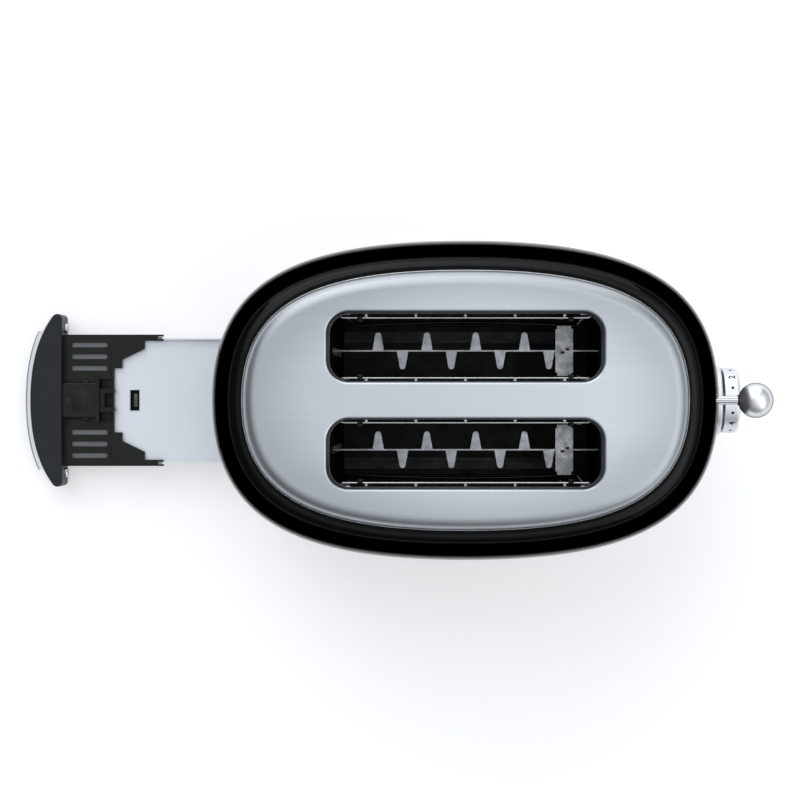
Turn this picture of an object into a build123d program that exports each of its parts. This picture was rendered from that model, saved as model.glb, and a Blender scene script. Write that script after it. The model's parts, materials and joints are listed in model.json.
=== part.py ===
"""Two-slot toaster with an oval body, a lever, a browning knob and a pull-out crumb tray.

Frame: millimetres, +Z up, origin on the table under the middle of the body.
+X points to the end with the lever and the knob, and the crumb tray pulls out towards -X.
The pieces stand as in use with the lever up and the tray pulled out by tray_pull.
"""

import os
from math import cos, radians, sin

from build123d import *

os.makedirs("parts", exist_ok=True)

# Outline of the body, seen from above: half sizes at its widest and at its crest
widest_x = 151.5
widest_y = 96.0
crest_x = 126.2
crest_y = 75.0
length_pull = 0.67
width_pull = 0.76
base_width_pull = 0.83

# Heights above the table
widest_z = 88.0
crest_z = 190.5
shell_bottom_z = 28.0

# Shell, plinth band and floor pan
shell_skin = 1.5
tuck_x = 4.5
tuck_y = 6.0
lower_steps = 4
upper_steps = 8
band_wall = 1.2
band_bottom_z = 6.5
band_round = 0.7
pan_skin = 1.2
pan_bottom_z = 8.0
pan_rim_height = 12.0
pan_rib_height = 1.0
pan_rib_length = 44.0
pan_rib_width = 4.0
pan_rib_x = (-44.0, 12.0)
pan_rib_y = (20.0, 34.0)
fit_gap = 0.2

# Steel plate on top, its two bread slots and the dark joint round it
plate_gap_x = 1.7
plate_gap_y = 2.7
joint_width = 1.0
plate_skin = 1.0
plate_sink = 1.0
plate_rise = 8.5
plate_flat_edge = 0.5
slot_length = 153.2
slot_width = 38.7
slot_corner = 12.0
slot_offset_y = 29.6
slot_lip_depth = 6.0
slot_lip_round = 1.6
gasket_height = 4.0
gasket_ledge = 4.0

# Feet
foot_radius = 8.5
foot_height = 8.0
foot_offset_x = 100.0
foot_offset_y = 56.0
foot_screw_radius = 1.8
foot_recess_radius = 4.0
foot_recess_depth = 3.5
foot_taper = 4.0
foot_screw_head = 1.8
foot_screw_spare = 2.0

# Chamber sheets
sheet = 1.0
chamber_half_x = 78.5
chamber_half_y = 61.0
chamber_bottom_z = 26.0
chamber_top_z = 183.5
leg_width = 8.0
carrier_slot_width = 5.0

# Heater boards and their flat ribbon windings
board_thickness = 0.8
board_offset_y = 24.5
board_bottom_z = 36.0
board_top_z = 176.0
ribbon_thickness = 0.3
ribbon_width = 1.8
ribbon_runs = 13
ribbon_margin_x = 6.0
ribbon_margin_z = 10.0

# Wire bread guards
wire_radius = 0.8
guard_offset_y = 18.4
guard_wire_x = (-56.0, -28.0, 0.0, 28.0, 56.0)
guard_pivot_z = 40.0
guard_mid_z = 108.0
guard_top_z = 174.0
guard_tip_z = 176.0
guard_half_length = 69.0
guard_pin_end = 81.5
guard_bow = 2.2
weld_share = 0.8
pin_clearance = 0.08

# Bread carriers at rest, with their bent teeth and cross strip
carrier_top_z = 113.0
carrier_depth = 9.0
carrier_skin = 0.8
carrier_rear_x = -84.0
tooth_length = 11.0
tooth_base = 6.9
tooth_tip = 3.6
tooth_pitch = 29.2
tooth_start_x = -52.3
teeth_each_side = 4
strip_width = 10.5
strip_length = 30.0
strip_centre_x = 59.1
strip_notch = 2.0
strip_tab = 3.0

# Carriage: vertical rod, slider, cross bar, lever and ball
lever_drop = 62.0
lever_lift = 10.0
rod_radius = 3.0
rod_x = 112.0
rod_clearance = 0.06
rod_top_z = 174.0
slider_half_x = 8.0
slider_half_y = 14.0
slider_bottom_z = 96.0
slider_top_z = 156.0
slider_ear = 14.0
slider_web = 3.0
slider_corner = 2.0
bar_x = 98.0
bar_depth = 4.0
bar_overhang = 4.0
lever_z = 150.0
stem_radius = 2.55
ball_radius = 10.25
ball_x = 167.9
ball_flat = 1.0

# Latch magnet and the plate that it holds
magnet_gap = 0.3
magnet_y = 16.0
magnet_width = 20.0
magnet_depth = 12.0
magnet_arm = 2.4
core_width = 4.0
coil_wall = 4.4
coil_corner = 2.0
armature_thickness = 2.0
armature_corner = 1.0
magnet_tab_x = -1.0

# Return spring
spring_y = -9.0
spring_coil_radius = 3.6
spring_wire_radius = 0.45
spring_turns = 20
bracket_z = 172.0
bracket_skin = 1.6
bracket_overhang = 4.0

# Knob, bezel, shaft and browning control
knob_z = 54.0
knob_radius = 20.4
knob_rear_x = 161.4
knob_front_x = 171.1
knob_round = 2.2
knob_wall = 2.0
bezel_radius = 22.2
bezel_front_x = 159.6
bezel_wall = 2.4
bezel_floor = 2.0
bezel_round = 1.0
shaft_radius = 3.0
shaft_clearance = 0.06
shaft_hole_gap = 1.0
shaft_start = 3.0
control_radius = 8.0

# Push buttons: two rows, one button each side of the knob
button_radius = 6.0
button_gap = 0.35
button_travel = 2.5
button_y = 33.0
button_low_z = 50.0
button_high_z = 74.0
button_low_face_x = 149.0
button_high_face_x = 150.6
button_rear_x = 139.2
stem_button_radius = 2.5
button_round = 1.0
button_names = ("stop_button", "reheat_button", "defrost_button", "bagel_button")

# Carrier frame and board behind the front end
frame_x = 134.0
frame_skin = 2.0
frame_half_y = 41.0
frame_bottom_z = 26.0
frame_top_z = 84.0
frame_corner = 4.0
circuit_x = 124.0
circuit_skin = 1.6
circuit_half_y = 40.0
circuit_top_z = 81.0
switch_depth = 6.0
switch_size = 6.2
switch_corner = 0.6

# Lever slot in the front end
lever_slot_half_y = 3.5
lever_slot_bottom_z = 82.0
lever_slot_top_z = 166.0
liner_wall = 1.4
liner_depth = 7.0

# Crumb tray, drawn where it stands when it is shut and shifted out by tray_pull
tray_pull = 135.0
handle_width = 112.0
handle_depth = 20.6
handle_bottom_z = 5.5
handle_top_z = 25.0
handle_round = 1.2
handle_corner = 3.0
trim_thickness = 0.8
trim_bottom_z = 7.5
trim_top_z = 23.0
lip_thickness = 3.4
lip_width = 90.0
lip_bottom_z = 13.0
lip_top_z = 20.5
lip_round = 1.4
mouth_gap = 0.6
tray_plate_half_y = 40.4
tray_plate_z = 13.5
tray_plate_skin = 0.8
tray_plate_end_x = 55.0
hole_x = -81.0
hole_length = 6.0
hole_width = 13.4
tray_frame_top_z = 17.8
frame_seat = 0.5
rail_half_y = 42.8
rail_width = 4.0
rail_end_x = -61.9
fork_depth = 2.6
fork_gap = 1.6
grille_start_x = -122.4
grille_length = 24.2
grille_slot = 3.1
grille_inner_y = 20.9
grille_pitch = 7.6
grille_rows = 3
step_x = (-94.1, -88.9, -74.3)
step_y = (20.9, 26.4, 33.6)
recess_half_y = 13.8
recess_start_x = -102.6
recess_end_x = -94.8
recess_floor_z = 15.3
latch_half_y = 11.4
latch_end_x = -104.6
latch_top_z = 22.5
latch_round = 1.0
flange_thickness = 2.0
flange_rise = 1.0
jaw_half_gap = 4.6
jaw_width = 3.0
jaw_round = 0.8
jaw_bridge = 2.0
jaw_end_x = -92.9
jaw_bottom_z = 18.1
jaw_top_z = 21.6
plunger_half_y = 4.2
plunger_length = 3.3
screw_y = 47.0
screw_z = 15.2
screw_head_radius = 3.1
screw_head_height = 2.2
screw_head_round = 1.0
screw_shank_radius = 1.5
screw_shank_length = 8.0

# Tray guides and striker
guide_gap = 0.25
guide_wall = 1.6
guide_end_x = 58.0
guide_start_x = -118.0
guide_lip = 3.0
striker_half_y = 2.5
striker_bottom_z = 18.4
striker_top_z = 20.8
striker_reach = 0.7
striker_skin = 1.6

# Cable entry and terminal block
cord_entry_x = -40.0
cord_entry_y = 66.0
cord_bore_radius = 3.6
gland_radius = 6.5
gland_flange_radius = 8.5
gland_flange = 1.6
gland_height = 9.0
terminal_length = 26.0
terminal_width = 12.0
terminal_height = 14.0

# Sizes that follow from the ones above
band_x = widest_x - tuck_x
band_y = widest_y - tuck_y
plate_x = crest_x - plate_gap_x
plate_y = crest_y - plate_gap_y
opening_x = plate_x + joint_width
opening_y = plate_y + joint_width
plate_edge_z = crest_z - plate_sink
dome_top_z = plate_edge_z + plate_rise
plate_round = plate_rise - plate_flat_edge
pan_top_z = pan_bottom_z + pan_skin
tray_frame_bottom_z = tray_plate_z + tray_plate_skin
handle_back_x = handle_depth - band_x
carrier_bottom_z = carrier_top_z - carrier_depth
armature_z = slider_bottom_z - armature_thickness
magnet_top_z = armature_z - lever_drop - magnet_gap
rod_bottom_z = pan_top_z


def oval(half_x, half_y, height, end_pull=width_pull):
    """A filled outline of four cubic curves, lying at a height, flatter at its ends with more end pull."""
    with BuildSketch(Plane.XY.offset(height)) as outline:
        with BuildLine():
            for sign_x, sign_y in ((1, 1), (-1, 1), (-1, -1), (1, -1)):
                Bezier(
                    (sign_x * half_x, 0),
                    (sign_x * half_x, sign_y * half_y * end_pull),
                    (sign_x * half_x * length_pull, sign_y * half_y),
                    (0, sign_y * half_y),
                )
        make_face()
    return outline.sketch


def body_sections(skin):
    """Level sections of the bulging body, drawn in by a skin thickness."""
    sections = []
    for step in range(lower_steps):
        height = shell_bottom_z + (widest_z - shell_bottom_z) * step / lower_steps
        tuck = ((widest_z - height) / (widest_z - shell_bottom_z)) ** 2
        half_x = widest_x - tuck_x * tuck - skin
        half_y = widest_y - tuck_y * tuck - skin
        end_pull = width_pull + (base_width_pull - width_pull) * tuck
        sections.append(oval(half_x, half_y, height, end_pull))
    for step in range(upper_steps + 1):
        turn = radians(90 * step / upper_steps)
        half_x = crest_x + (widest_x - crest_x - skin) * cos(turn)
        half_y = crest_y + (widest_y - crest_y - skin) * cos(turn)
        height = widest_z + (crest_z - widest_z - skin) * sin(turn)
        sections.append(oval(half_x, half_y, height))
    return sections


def dome(skin):
    """The top plate's solid outer form, drawn in by a skin thickness."""
    with BuildPart() as block:
        with BuildSketch(Plane.XY.offset(plate_edge_z)):
            add(oval(plate_x - skin, plate_y - skin, 0))
        extrude(amount=dome_top_z - plate_edge_z - skin)
        fillet(block.edges().group_by(Axis.Z)[-1], plate_round - skin)
    return block.part


def end_plane(x):
    """A plane facing +X, with its own x along +Y and its own y along +Z."""
    return Plane(origin=(x, 0, 0), x_dir=(0, 1, 0), z_dir=(1, 0, 0))


def side_plane(y):
    """A plane facing -Y, with its own x along +X and its own y along +Z."""
    return Plane(origin=(0, y, 0), x_dir=(1, 0, 0), z_dir=(0, -1, 0))


def tray_plane(height):
    """A level plane that is shifted out with the tray."""
    return Plane.XY.offset(height).move(Location((-tray_pull, 0, 0)))


def tray_end_plane(x):
    """A plane facing +X that is shifted out with the tray."""
    return end_plane(x - tray_pull)


def save(piece, name):
    """Label a finished piece and write it to its own file."""
    piece.label = name
    export_step(piece, f"parts/{name}.step")


def outer_shell():
    """Glossy shell: a thin bulging skin, open at the bottom and round the top plate."""
    with BuildPart() as inside:
        loft(sections=body_sections(shell_skin))
    with BuildPart() as shell:
        loft(sections=body_sections(0))
        add(inside.part, mode=Mode.SUBTRACT)
        with BuildSketch(Plane.XY.offset(crest_z)):
            add(oval(opening_x, opening_y, 0))
        extrude(amount=-2 * shell_skin, mode=Mode.SUBTRACT)
        with BuildSketch(end_plane(frame_x)):
            with Locations((0, (lever_slot_bottom_z + lever_slot_top_z) / 2)):
                SlotOverall(lever_slot_top_z - lever_slot_bottom_z, 2 * lever_slot_half_y, rotation=90)
            with Locations((0, knob_z)):
                Circle(bezel_radius + fit_gap)
            with Locations(*button_places()):
                Circle(button_radius + button_gap)
        extrude(amount=widest_x, mode=Mode.SUBTRACT)
    save(shell.part, "outer_shell")


def button_places():
    """Centres of the buttons on the end plane: low and high, on both sides of the knob."""
    return [(side * button_y, z) for z in (button_low_z, button_high_z) for side in (-1, 1)]


def base_band():
    """Bright plinth band with a mouth at the tray end."""
    with BuildPart() as band:
        with BuildSketch(Plane.XY.offset(band_bottom_z)):
            add(oval(band_x, band_y, 0, base_width_pull))
        extrude(amount=shell_bottom_z - band_bottom_z)
        fillet(band.edges().group_by(Axis.Z)[0] + band.edges().group_by(Axis.Z)[-1], band_round)
        with BuildSketch(Plane.XY.offset(band_bottom_z)):
            add(oval(band_x - band_wall, band_y - band_wall, 0, base_width_pull))
        extrude(amount=shell_bottom_z - band_bottom_z, mode=Mode.SUBTRACT)
        with BuildSketch(end_plane(-widest_x)):
            with Locations((0, (handle_top_z + mouth_gap) / 2)):
                Rectangle(handle_width + 2 * mouth_gap, handle_top_z + mouth_gap)
        extrude(amount=widest_x / 2, mode=Mode.SUBTRACT)
    save(band.part, "base_band")


def base_pan():
    """Dark floor pan with pressed ribs, a rim and room for the shut tray handle."""
    pan_x = band_x - band_wall - fit_gap
    pan_y = band_y - band_wall - fit_gap
    with BuildPart() as pan:
        with BuildSketch(Plane.XY.offset(pan_bottom_z)):
            add(oval(pan_x, pan_y, 0, base_width_pull))
        extrude(amount=pan_rim_height)
        with BuildSketch(Plane.XY.offset(pan_top_z)):
            add(oval(pan_x - pan_skin, pan_y - pan_skin, 0, base_width_pull))
        extrude(amount=pan_rim_height, mode=Mode.SUBTRACT)
        with BuildSketch(Plane.XY.offset(pan_top_z)):
            with Locations(*[(x, side * y) for x in pan_rib_x for y in pan_rib_y for side in (-1, 1)]):
                SlotOverall(pan_rib_length, pan_rib_width)
        extrude(amount=pan_rib_height)
        with BuildSketch(Plane.XY.offset(pan_bottom_z)):
            with Locations(((handle_back_x + mouth_gap - widest_x) / 2, 0)):
                Rectangle(widest_x + handle_back_x + mouth_gap, handle_width + 2 * mouth_gap)
            with Locations((cord_entry_x, cord_entry_y)):
                Circle(gland_radius)
        extrude(amount=pan_rim_height, mode=Mode.SUBTRACT)
        with BuildSketch(Plane.XY.offset(pan_bottom_z)):
            with GridLocations(2 * foot_offset_x, 2 * foot_offset_y, 2, 2):
                Circle(foot_screw_radius)
        extrude(amount=pan_skin, mode=Mode.SUBTRACT)
    save(pan.part, "base_pan")


def feet():
    """Four soft feet under the pan, each with a recess for its screw."""
    with BuildPart() as foot_set:
        with BuildSketch(Plane.XY):
            with GridLocations(2 * foot_offset_x, 2 * foot_offset_y, 2, 2):
                Circle(foot_radius)
        extrude(amount=foot_height, taper=foot_taper)
        with BuildSketch(Plane.XY):
            with GridLocations(2 * foot_offset_x, 2 * foot_offset_y, 2, 2):
                Circle(foot_recess_radius)
        extrude(amount=foot_recess_depth, mode=Mode.SUBTRACT)
        with BuildSketch(Plane.XY):
            with GridLocations(2 * foot_offset_x, 2 * foot_offset_y, 2, 2):
                Circle(foot_screw_radius)
        extrude(amount=foot_height, mode=Mode.SUBTRACT)
    save(foot_set.part, "feet")
    with BuildPart() as foot_screws:
        with BuildSketch(Plane.XY.offset(foot_recess_depth)):
            with GridLocations(2 * foot_offset_x, 2 * foot_offset_y, 2, 2):
                Circle(foot_recess_radius - fit_gap)
        extrude(amount=-foot_screw_head)
        with BuildSketch(Plane.XY.offset(foot_recess_depth)):
            with GridLocations(2 * foot_offset_x, 2 * foot_offset_y, 2, 2):
                Circle(foot_screw_radius - fit_gap)
        extrude(amount=pan_top_z + foot_screw_spare - foot_recess_depth)
    save(foot_screws.part, "foot_screws")


def slot_outlines(growth, height):
    """Both bread slots as rounded outlines at a height, grown all round."""
    with BuildSketch(Plane.XY.offset(height)) as outlines:
        with Locations((0, -slot_offset_y), (0, slot_offset_y)):
            RectangleRounded(slot_length + 2 * growth, slot_width + 2 * growth, slot_corner + growth)
    return outlines.sketch


def top_plate():
    """Crowned steel plate with two bread slots, each with a turned-down lip."""
    with BuildPart() as hollow:
        add(dome(plate_skin))
        extrude(slot_outlines(plate_skin, plate_edge_z), amount=dome_top_z, mode=Mode.SUBTRACT)
    with BuildPart() as plate:
        add(dome(0))
        extrude(slot_outlines(0, plate_edge_z), amount=dome_top_z, mode=Mode.SUBTRACT)
        top_face = plate.faces().sort_by(Axis.Z)[-1]
        for rim in top_face.inner_wires():
            fillet(rim.edges(), slot_lip_round)
        add(hollow.part, mode=Mode.SUBTRACT)
        extrude(slot_outlines(plate_skin, plate_edge_z), amount=-slot_lip_depth)
        extrude(slot_outlines(0, plate_edge_z), amount=-slot_lip_depth, mode=Mode.SUBTRACT)
    save(plate.part, "top_plate")


def rim_gasket():
    """Black seal between the shell's crest and the steel plate, and its ledge below."""
    with BuildPart() as gasket:
        with BuildSketch(Plane.XY.offset(plate_edge_z)):
            add(oval(opening_x, opening_y, 0))
            add(oval(plate_x - gasket_ledge, plate_y - gasket_ledge, 0), mode=Mode.SUBTRACT)
        extrude(amount=-gasket_height)
    save(gasket.part, "rim_gasket")


def end_sheet(side, name):
    """Sheet at one end of the chamber, on two legs, with slots for the carriers."""
    with BuildPart() as plate:
        start_x = side * chamber_half_x if side > 0 else -chamber_half_x - sheet
        with BuildSketch(end_plane(start_x)):
            with Locations((0, (chamber_bottom_z + chamber_top_z) / 2)):
                Rectangle(2 * chamber_half_y, chamber_top_z - chamber_bottom_z)
            for edge_side in (-1, 1):
                with Locations((edge_side * (chamber_half_y - leg_width / 2), chamber_bottom_z)):
                    Rectangle(leg_width, 2 * (chamber_bottom_z - pan_top_z))
            low = carrier_bottom_z - lever_drop - carrier_slot_width
            high = carrier_top_z + lever_lift + carrier_slot_width
            for slot_y in (-slot_offset_y, slot_offset_y):
                with Locations((slot_y, (low + high) / 2)):
                    SlotOverall(high - low, carrier_slot_width, rotation=90, mode=Mode.SUBTRACT)
            pivots = [
                (slot_y + way * guard_offset_y, guard_pivot_z)
                for slot_y in (-slot_offset_y, slot_offset_y)
                for way in (-1, 1)
            ]
            with Locations(*pivots):
                Circle(wire_radius + pin_clearance, mode=Mode.SUBTRACT)
        extrude(amount=sheet)
    save(plate.part, name)


def side_reflectors():
    """Bright sheets that close the chamber's long sides and its middle."""
    for side, name in ((1, "left_reflector"), (-1, "right_reflector")):
        with BuildPart() as reflector:
            with BuildSketch(side_plane(side * (chamber_half_y - sheet / 2) + sheet / 2)):
                with Locations((0, (chamber_bottom_z + chamber_top_z) / 2)):
                    Rectangle(2 * chamber_half_x, chamber_top_z - chamber_bottom_z)
            extrude(amount=sheet)
        save(reflector.part, name)
    with BuildPart() as divider:
        with BuildSketch(side_plane(sheet / 2)):
            with Locations((0, (chamber_bottom_z + chamber_top_z) / 2)):
                Rectangle(2 * chamber_half_x, chamber_top_z - chamber_bottom_z)
        extrude(amount=sheet)
    save(divider.part, "centre_divider")


def heater(slot_y, way, name):
    """One mica board beside a slot and the ribbon that winds to and fro on its hot side."""
    board_y = slot_y + way * board_offset_y
    face_y = board_y - way * board_thickness / 2
    with BuildPart() as board:
        with BuildSketch(side_plane(board_y + board_thickness / 2)):
            with Locations((0, (board_bottom_z + board_top_z) / 2)):
                Rectangle(2 * chamber_half_x, board_top_z - board_bottom_z)
        extrude(amount=board_thickness)
    save(board.part, f"{name}_board")
    half_run = chamber_half_x - ribbon_margin_x
    low_z = board_bottom_z + ribbon_margin_z
    pitch = (board_top_z - board_bottom_z - 2 * ribbon_margin_z) / (ribbon_runs - 1)
    near_y = face_y if way > 0 else face_y + ribbon_thickness
    with BuildPart() as winding:
        with BuildSketch(side_plane(near_y)):
            for run in range(ribbon_runs):
                with Locations((0, low_z + run * pitch)):
                    Rectangle(2 * half_run, ribbon_width)
            for run in range(ribbon_runs - 1):
                end = 1 if run % 2 else -1
                with Locations((end * (half_run - ribbon_width / 2), low_z + (run + 0.5) * pitch)):
                    Rectangle(ribbon_width, pitch)
        extrude(amount=ribbon_thickness)
    save(winding.part, f"{name}_winding")


def straight_wire(start, end):
    """A round wire from one point to another."""
    with BuildLine() as route:
        Line(start, end)
    with BuildPart() as rod:
        with BuildSketch(route.line ^ 0):
            Circle(wire_radius)
        sweep(path=route.line)
    return rod.part


def bowed_wire(start, middle, end):
    """A round wire on an arc through three points."""
    with BuildLine() as route:
        ThreePointArc(start, middle, end)
    with BuildPart() as rod:
        with BuildSketch(route.line ^ 0):
            Circle(wire_radius)
        sweep(path=route.line)
    return rod.part


def bread_guard(slot_y, way, name):
    """Welded wire grid beside a slot, with a pivot wire at its foot."""
    guard_y = slot_y + way * guard_offset_y
    cross_y = guard_y - way * 2 * wire_radius * weld_share
    end_y = cross_y - way * guard_bow
    wires = [
        straight_wire((-guard_pin_end, guard_y, guard_pivot_z), (guard_pin_end, guard_y, guard_pivot_z)),
        straight_wire((-guard_half_length, cross_y, guard_top_z), (guard_half_length, cross_y, guard_top_z)),
        bowed_wire(
            (-guard_half_length, end_y, guard_mid_z),
            (0, cross_y, guard_mid_z),
            (guard_half_length, end_y, guard_mid_z),
        ),
    ]
    for x in guard_wire_x:
        wires.append(straight_wire((x, guard_y, guard_pivot_z), (x, guard_y, guard_tip_z)))
    for end in (-1, 1):
        reach = end * (guard_half_length - 3 * wire_radius)
        wires.append(straight_wire((reach, cross_y, guard_top_z), (reach, end_y, guard_mid_z)))
    with BuildPart() as guard:
        add(wires)
    save(guard.part, name)


def tooth(x, way):
    """Outline of one bent tooth: a tapered tongue with a round tip."""
    with BuildSketch(Plane.XY.offset(carrier_top_z - carrier_skin)) as outline:
        with BuildLine():
            Line((x - tooth_base / 2, 0), (x - tooth_tip / 2, way * (tooth_length - tooth_tip / 2)))
            ThreePointArc(
                (x - tooth_tip / 2, way * (tooth_length - tooth_tip / 2)),
                (x, way * tooth_length),
                (x + tooth_tip / 2, way * (tooth_length - tooth_tip / 2)),
            )
            Line((x + tooth_tip / 2, way * (tooth_length - tooth_tip / 2)), (x + tooth_base / 2, 0))
            Line((x + tooth_base / 2, 0), (x - tooth_base / 2, 0))
        make_face()
    return outline.sketch


def bread_carrier(slot_y, name):
    """Thin upright blade with teeth bent to both sides and a cross strip at the front."""
    with BuildPart() as carrier:
        with BuildSketch(side_plane(slot_y + carrier_skin / 2)):
            with Locations(((carrier_rear_x + bar_x) / 2, carrier_top_z - carrier_depth / 2)):
                Rectangle(bar_x - carrier_rear_x, carrier_depth)
        extrude(amount=carrier_skin)
        for index in range(teeth_each_side):
            left = tooth(tooth_start_x + index * tooth_pitch, 1)
            right = tooth(tooth_start_x + (index + 0.5) * tooth_pitch, -1)
            for outline in (left, right):
                with BuildSketch(Plane.XY.offset(carrier_top_z - carrier_skin)):
                    with Locations((0, slot_y)):
                        add(outline.moved(Location((0, 0, carrier_skin - carrier_top_z))))
                extrude(amount=carrier_skin)
        with BuildSketch(Plane.XY.offset(carrier_top_z - carrier_skin)):
            with Locations((strip_centre_x, slot_y)):
                Rectangle(strip_width, strip_length)
                with GridLocations(strip_width, strip_length, 2, 2):
                    Rectangle(strip_notch, 2 * strip_notch, mode=Mode.SUBTRACT)
        extrude(amount=carrier_skin)
        tab_z = carrier_top_z + strip_tab / 2
        with BuildSketch(end_plane(strip_centre_x)):
            with Locations((slot_y, tab_z)):
                Rectangle(strip_tab, strip_tab)
        extrude(amount=carrier_skin)
    save(carrier.part, name)


def carriage():
    """Slider on the guide rod, with its cross bar, armature, lever arm and ball."""
    ear_places = (slider_bottom_z + slider_ear / 2, slider_top_z - slider_ear / 2)
    with BuildPart() as slider:
        for ear_z in ear_places:
            with BuildSketch(Plane.XY.offset(ear_z - slider_ear / 2)):
                with Locations((rod_x, 0)):
                    RectangleRounded(2 * slider_half_x, 2 * slider_half_y, slider_corner)
            extrude(amount=slider_ear)
        with BuildSketch(Plane.XY.offset(slider_bottom_z)):
            with Locations((rod_x + slider_half_x - slider_web / 2, 0)):
                Rectangle(slider_web, slider_half_y)
        extrude(amount=slider_top_z - slider_bottom_z)
        with BuildSketch(Plane.XY.offset(slider_bottom_z)):
            with Locations((rod_x + magnet_tab_x, slider_half_y)):
                Rectangle(magnet_depth, 2 * (magnet_y + magnet_width / 2 - slider_half_y))
        extrude(amount=slider_web)
        with BuildSketch(Plane.XY.offset(slider_bottom_z)):
            with Locations((rod_x, 0)):
                Circle(rod_radius + rod_clearance)
        extrude(amount=slider_top_z - slider_bottom_z, mode=Mode.SUBTRACT)
        with BuildSketch(Plane.XY.offset(slider_bottom_z)):
            with Locations((rod_x, spring_y)):
                Circle(spring_coil_radius + 2 * spring_wire_radius + fit_gap)
        extrude(amount=slider_top_z - slider_bottom_z, mode=Mode.SUBTRACT)
        with BuildSketch(Plane.XY.offset(slider_bottom_z)):
            with Locations((rod_x, spring_y)):
                Circle(spring_coil_radius + 2 * spring_wire_radius + fit_gap)
        extrude(amount=slider_web)
    save(slider.part, "carriage_slider")

    with BuildPart() as bar:
        with BuildSketch(Plane.XY.offset(carrier_bottom_z)):
            with Locations((bar_x + bar_depth / 2, 0)):
                Rectangle(bar_depth, 2 * (slot_offset_y + bar_overhang))
            with Locations(((bar_x + rod_x - slider_half_x) / 2, 0)):
                Rectangle(rod_x - slider_half_x - bar_x, slider_half_y)
        extrude(amount=carrier_depth)
    save(bar.part, "carriage_bar")

    with BuildPart() as armature:
        with BuildSketch(Plane.XY.offset(armature_z)):
            with Locations((rod_x + magnet_tab_x, magnet_y)):
                RectangleRounded(magnet_depth, magnet_width, armature_corner)
        extrude(amount=armature_thickness)
    save(armature.part, "latch_armature")

    with BuildPart() as arm:
        with BuildSketch(end_plane(rod_x + slider_half_x)):
            with Locations((0, lever_z)):
                Circle(stem_radius)
        extrude(amount=ball_x - ball_radius + ball_flat / 2 - rod_x - slider_half_x)
        with BuildSketch(end_plane(rod_x + slider_half_x)):
            with Locations((0, lever_z)):
                Circle(2 * stem_radius)
        extrude(amount=slider_web)
    save(arm.part, "lever_arm")

    with BuildPart() as ball:
        with BuildSketch(Plane.XZ):
            with Locations((ball_x, lever_z)):
                Circle(ball_radius)
            with Locations((ball_x, lever_z - ball_radius)):
                Rectangle(4 * ball_radius, 2 * ball_radius, mode=Mode.SUBTRACT)
            with Locations((ball_x - ball_radius, lever_z)):
                Rectangle(ball_flat, 4 * ball_radius, mode=Mode.SUBTRACT)
        revolve(axis=Axis((0, 0, lever_z), (1, 0, 0)))
    save(ball.part, "lever_ball")


def guide_and_magnet():
    """Rod, top bracket, latch magnet with its coil, and the return spring."""
    with BuildPart() as rod:
        with BuildSketch(Plane.XY.offset(rod_bottom_z)):
            with Locations((rod_x, 0)):
                Circle(rod_radius)
        extrude(amount=rod_top_z - rod_bottom_z)
    save(rod.part, "guide_rod")

    with BuildPart() as bracket:
        front_x = rod_x + slider_half_x + bracket_overhang
        with BuildSketch(Plane.XY.offset(bracket_z)):
            with Locations(((chamber_half_x + sheet + front_x) / 2, 0)):
                Rectangle(front_x - chamber_half_x - sheet, 2 * slider_half_y)
            with Locations((rod_x, 0)):
                Circle(rod_radius, mode=Mode.SUBTRACT)
        extrude(amount=bracket_skin)
        with BuildSketch(Plane.XY.offset(bracket_z)):
            with Locations((chamber_half_x + sheet + bracket_skin / 2, 0)):
                Rectangle(bracket_skin, 2 * slider_half_y)
        extrude(amount=-slider_ear)
    save(bracket.part, "top_bracket")

    magnet_x = rod_x + magnet_tab_x
    with BuildPart() as yoke:
        with BuildSketch(end_plane(magnet_x - magnet_depth / 2)):
            with Locations((magnet_y, (pan_top_z + magnet_top_z) / 2)):
                Rectangle(magnet_width, magnet_top_z - pan_top_z)
            gap_width = (magnet_width - 2 * magnet_arm - core_width) / 2
            gap_z = (pan_top_z + magnet_arm + magnet_top_z) / 2
            gap_y = core_width / 2 + gap_width / 2
            for side in (-1, 1):
                with Locations((magnet_y + side * gap_y, gap_z)):
                    Rectangle(gap_width, magnet_top_z - pan_top_z - magnet_arm, mode=Mode.SUBTRACT)
        extrude(amount=magnet_depth)
    save(yoke.part, "latch_magnet_core")

    with BuildPart() as coil:
        with BuildSketch(Plane.XY.offset(pan_top_z + magnet_arm)):
            with Locations((magnet_x, magnet_y)):
                RectangleRounded(magnet_depth + 2 * coil_wall, core_width + 2 * coil_wall, coil_corner)
                Rectangle(magnet_depth, core_width, mode=Mode.SUBTRACT)
        extrude(amount=magnet_top_z - pan_top_z - 2 * magnet_arm)
    save(coil.part, "latch_magnet_coil")

    spring_bottom_z = slider_bottom_z + slider_web
    spring_height = bracket_z - spring_bottom_z - 2 * spring_wire_radius
    with BuildLine() as route:
        Helix(spring_height / spring_turns, spring_height, spring_coil_radius)
    with BuildPart() as spring:
        with BuildSketch(route.line ^ 0):
            Circle(spring_wire_radius)
        sweep(path=route.line)
    spring_part = spring.part.moved(Location((rod_x, spring_y, spring_bottom_z + spring_wire_radius)))
    least_gap = spring_height / spring_turns - 2 * spring_wire_radius
    print(f"spring: least gap between curls {least_gap:.2f} mm")
    save(spring_part, "lift_spring")


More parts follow.
